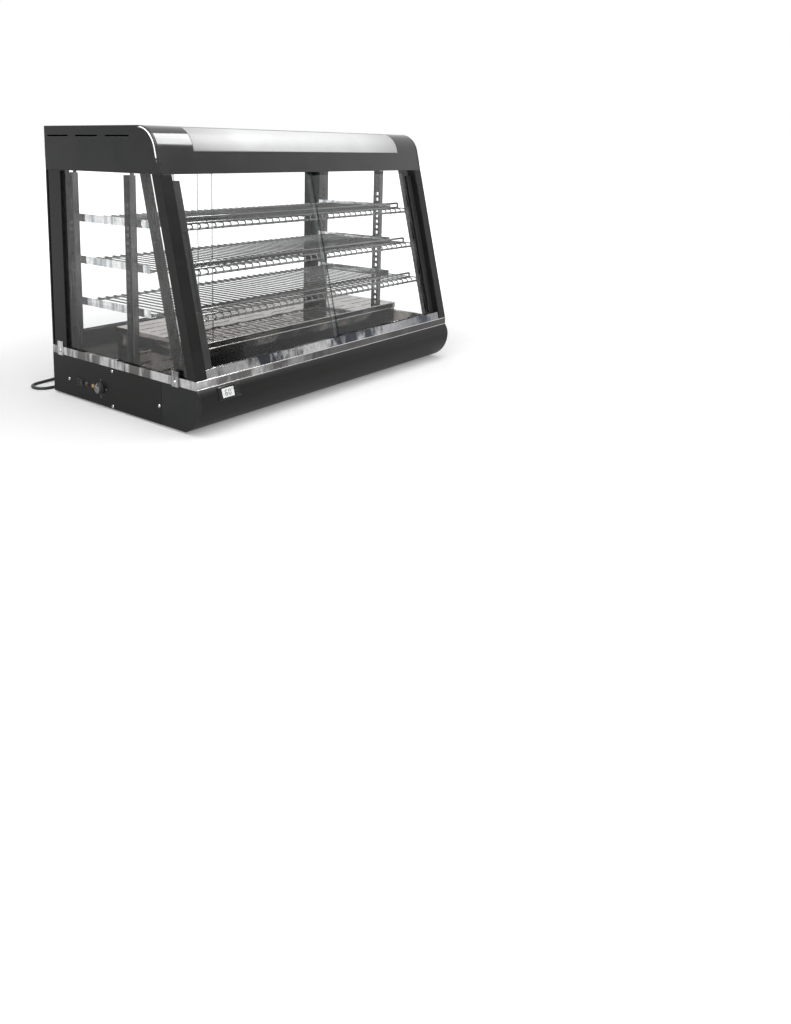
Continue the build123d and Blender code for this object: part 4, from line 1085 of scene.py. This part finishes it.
def buildMeter():
    place, sink = meterPlace()
    front = sink - meter["bezel"]
    wide, high = meter["wide"], meter["high"]
    windowWide, windowHigh = meter["window"]
    outer = roundedRect(wide, high, 3.2)
    crest = roundedRect(wide - 2.0, high - 2.0, 2.6)
    lip = roundedRect(windowWide + 1.4, windowHigh + 1.4, 1.6)
    rim = roundedRect(windowWide, windowHigh, 1.2)
    screen = roundedRect(windowWide - 0.3, windowHigh - 0.3, 1)
    shift = meter["shift"]
    bm = bmesh.new()
    rings = []
    for outline, depth, x in ((outer, sink, 0), (outer, front + 0.9, 0), (crest, front, 0),
                              (lip, front, shift), (rim, front + 0.7, shift)):
        rings.append([place @ vec(x + dx, depth, z) for dx, z in outline])
    ringFaces(bm, rings)
    meshPiece("meterBezel", bm, "blackGloss", "cabinet", ["thermometer"], angle=40)
    glassFace = bmesh.new()
    ring = [place @ vec(x + shift, front + 0.68, z) for x, z in screen]
    prism(glassFace, ring, vec(0, 0, 0), place.to_3x3() @ vec(0, -0.25, 0))
    meshPiece("meterWindow", glassFace, "window", "cabinet", ())
    buildDigits(place, front + 0.4)
    keys = bmesh.new()
    x = shift + windowWide / 2 + 5.5
    for z in (6, 0, -6):
        outline = [place @ vec(x + dx, front, z + dz) for dx, dz in roundedRect(5.0, 2.6, 1.2)]
        prism(keys, outline, vec(0, 0, 0), place.to_3x3() @ vec(0, -0.5, 0))
    meshPiece("meterKeys", keys, "satin", "cabinet", (), bevel=0.0002)


# Digits made of bars, named a to g as on any seven-bar display
digits = {"words": "60", "wide": 5.2, "high": 10.5, "thick": 1.5, "first": -7.6, "step": 9.4,
          "out": 0.12, "dotAt": 11.6, "dot": 1.1}
segments = {"0": "abcdef", "6": "acdefg"}


def segmentOutline(part, wide, high, thick):
    tall = high / 2
    spots = {"a": (0, high, True), "g": (0, tall, True), "d": (0, 0, True),
             "f": (0, tall * 1.5, False), "b": (wide, tall * 1.5, False),
             "e": (0, tall * 0.5, False), "c": (wide, tall * 0.5, False)}
    x, z, flat = spots[part]
    half, reach = thick / 2, (wide if flat else tall) / 2 - thick * 0.3
    shape = [(-reach, 0), (-reach + half, half), (reach - half, half),
             (reach, 0), (reach - half, -half), (-reach + half, -half)]
    if flat:
        return [(x + wide / 2 + u, z + v) for u, v in shape]
    return [(x + v, z + u) for u, v in shape]


def buildDigits(place, depth):
    bm = bmesh.new()
    wide, high, thick, dot = digits["wide"], digits["high"], digits["thick"], digits["dot"]
    out = place.to_3x3() @ vec(0, -digits["out"], 0)
    for n, digit in enumerate(digits["words"]):
        left = meter["shift"] + digits["first"] + n * digits["step"]
        for part in segments[digit]:
            outline = segmentOutline(part, wide, high, thick)
            ring = [place @ vec(left + x, depth, z - high / 2) for x, z in outline]
            prism(bm, ring, vec(0, 0, 0), out)
    middle = meter["shift"] + digits["dotAt"]
    ring = [place @ vec(middle + dot * cos(a), depth, high / 2 + dot * sin(a))
            for a in [2 * pi * n / 20 for n in range(20)]]
    prism(bm, ring, vec(0, 0, 0), out)
    meshPiece("meterDigits", bm, "ink", "cabinet", ())


buildMeter()
print("thermometer made")


# Feet and gland
feet = {"radius": 16.0, "height": 5.5}


def buildFeet():
    low, high = nodeBox("rubber_feet")
    bm = bmesh.new()
    radius, height = feet["radius"], feet["height"]
    profile = [(0, radius * 0.2), (0, radius * 0.82), (0.5, radius * 0.9), (height, radius)]
    for x in (low.x + radius * mm, high.x - radius * mm):
        for y in (low.y + radius * mm, high.y - radius * mm):
            lathe(bm, profile, (x, y, 0), (0, 0, 1), 40)
    meshPiece("rubberFeet", bm, "rubber", "cabinet", ["rubber_feet"])


gland = {"at": (-345.0, 247.5, 26.0), "ring": 11.0, "boot": 27.0, "ribs": 7, "wide": 7.0,
         "taper": 2.4, "end": 4.3}


def buildGland():
    bm = bmesh.new()
    ring = gland["ring"]
    profile = [(-1.5, 7.7), (0, ring), (0.2, ring), (2.4, ring - 0.3), (3.0, ring - 1.2), (3.2, 7.2)]
    for n in range(gland["ribs"]):
        start = 4 + n * (gland["boot"] - 3) / gland["ribs"]
        radius = gland["wide"] - gland["taper"] * n / gland["ribs"]
        profile += [(start, radius), (start + 2.0, radius - 0.2), (start + 2.2, radius - 1.0),
                    (start + 3.2, radius - 1.1)]
    profile.append((gland["boot"] + 3, gland["end"]))
    lathe(bm, profile, vec(*gland["at"]), (0, 1, 0), 40)
    meshPiece("cordGland", bm, "satin", "cabinet", ["cord_gland"])


buildFeet()
buildGland()
print("feet and gland made")

lows, highs = cadBox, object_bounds()
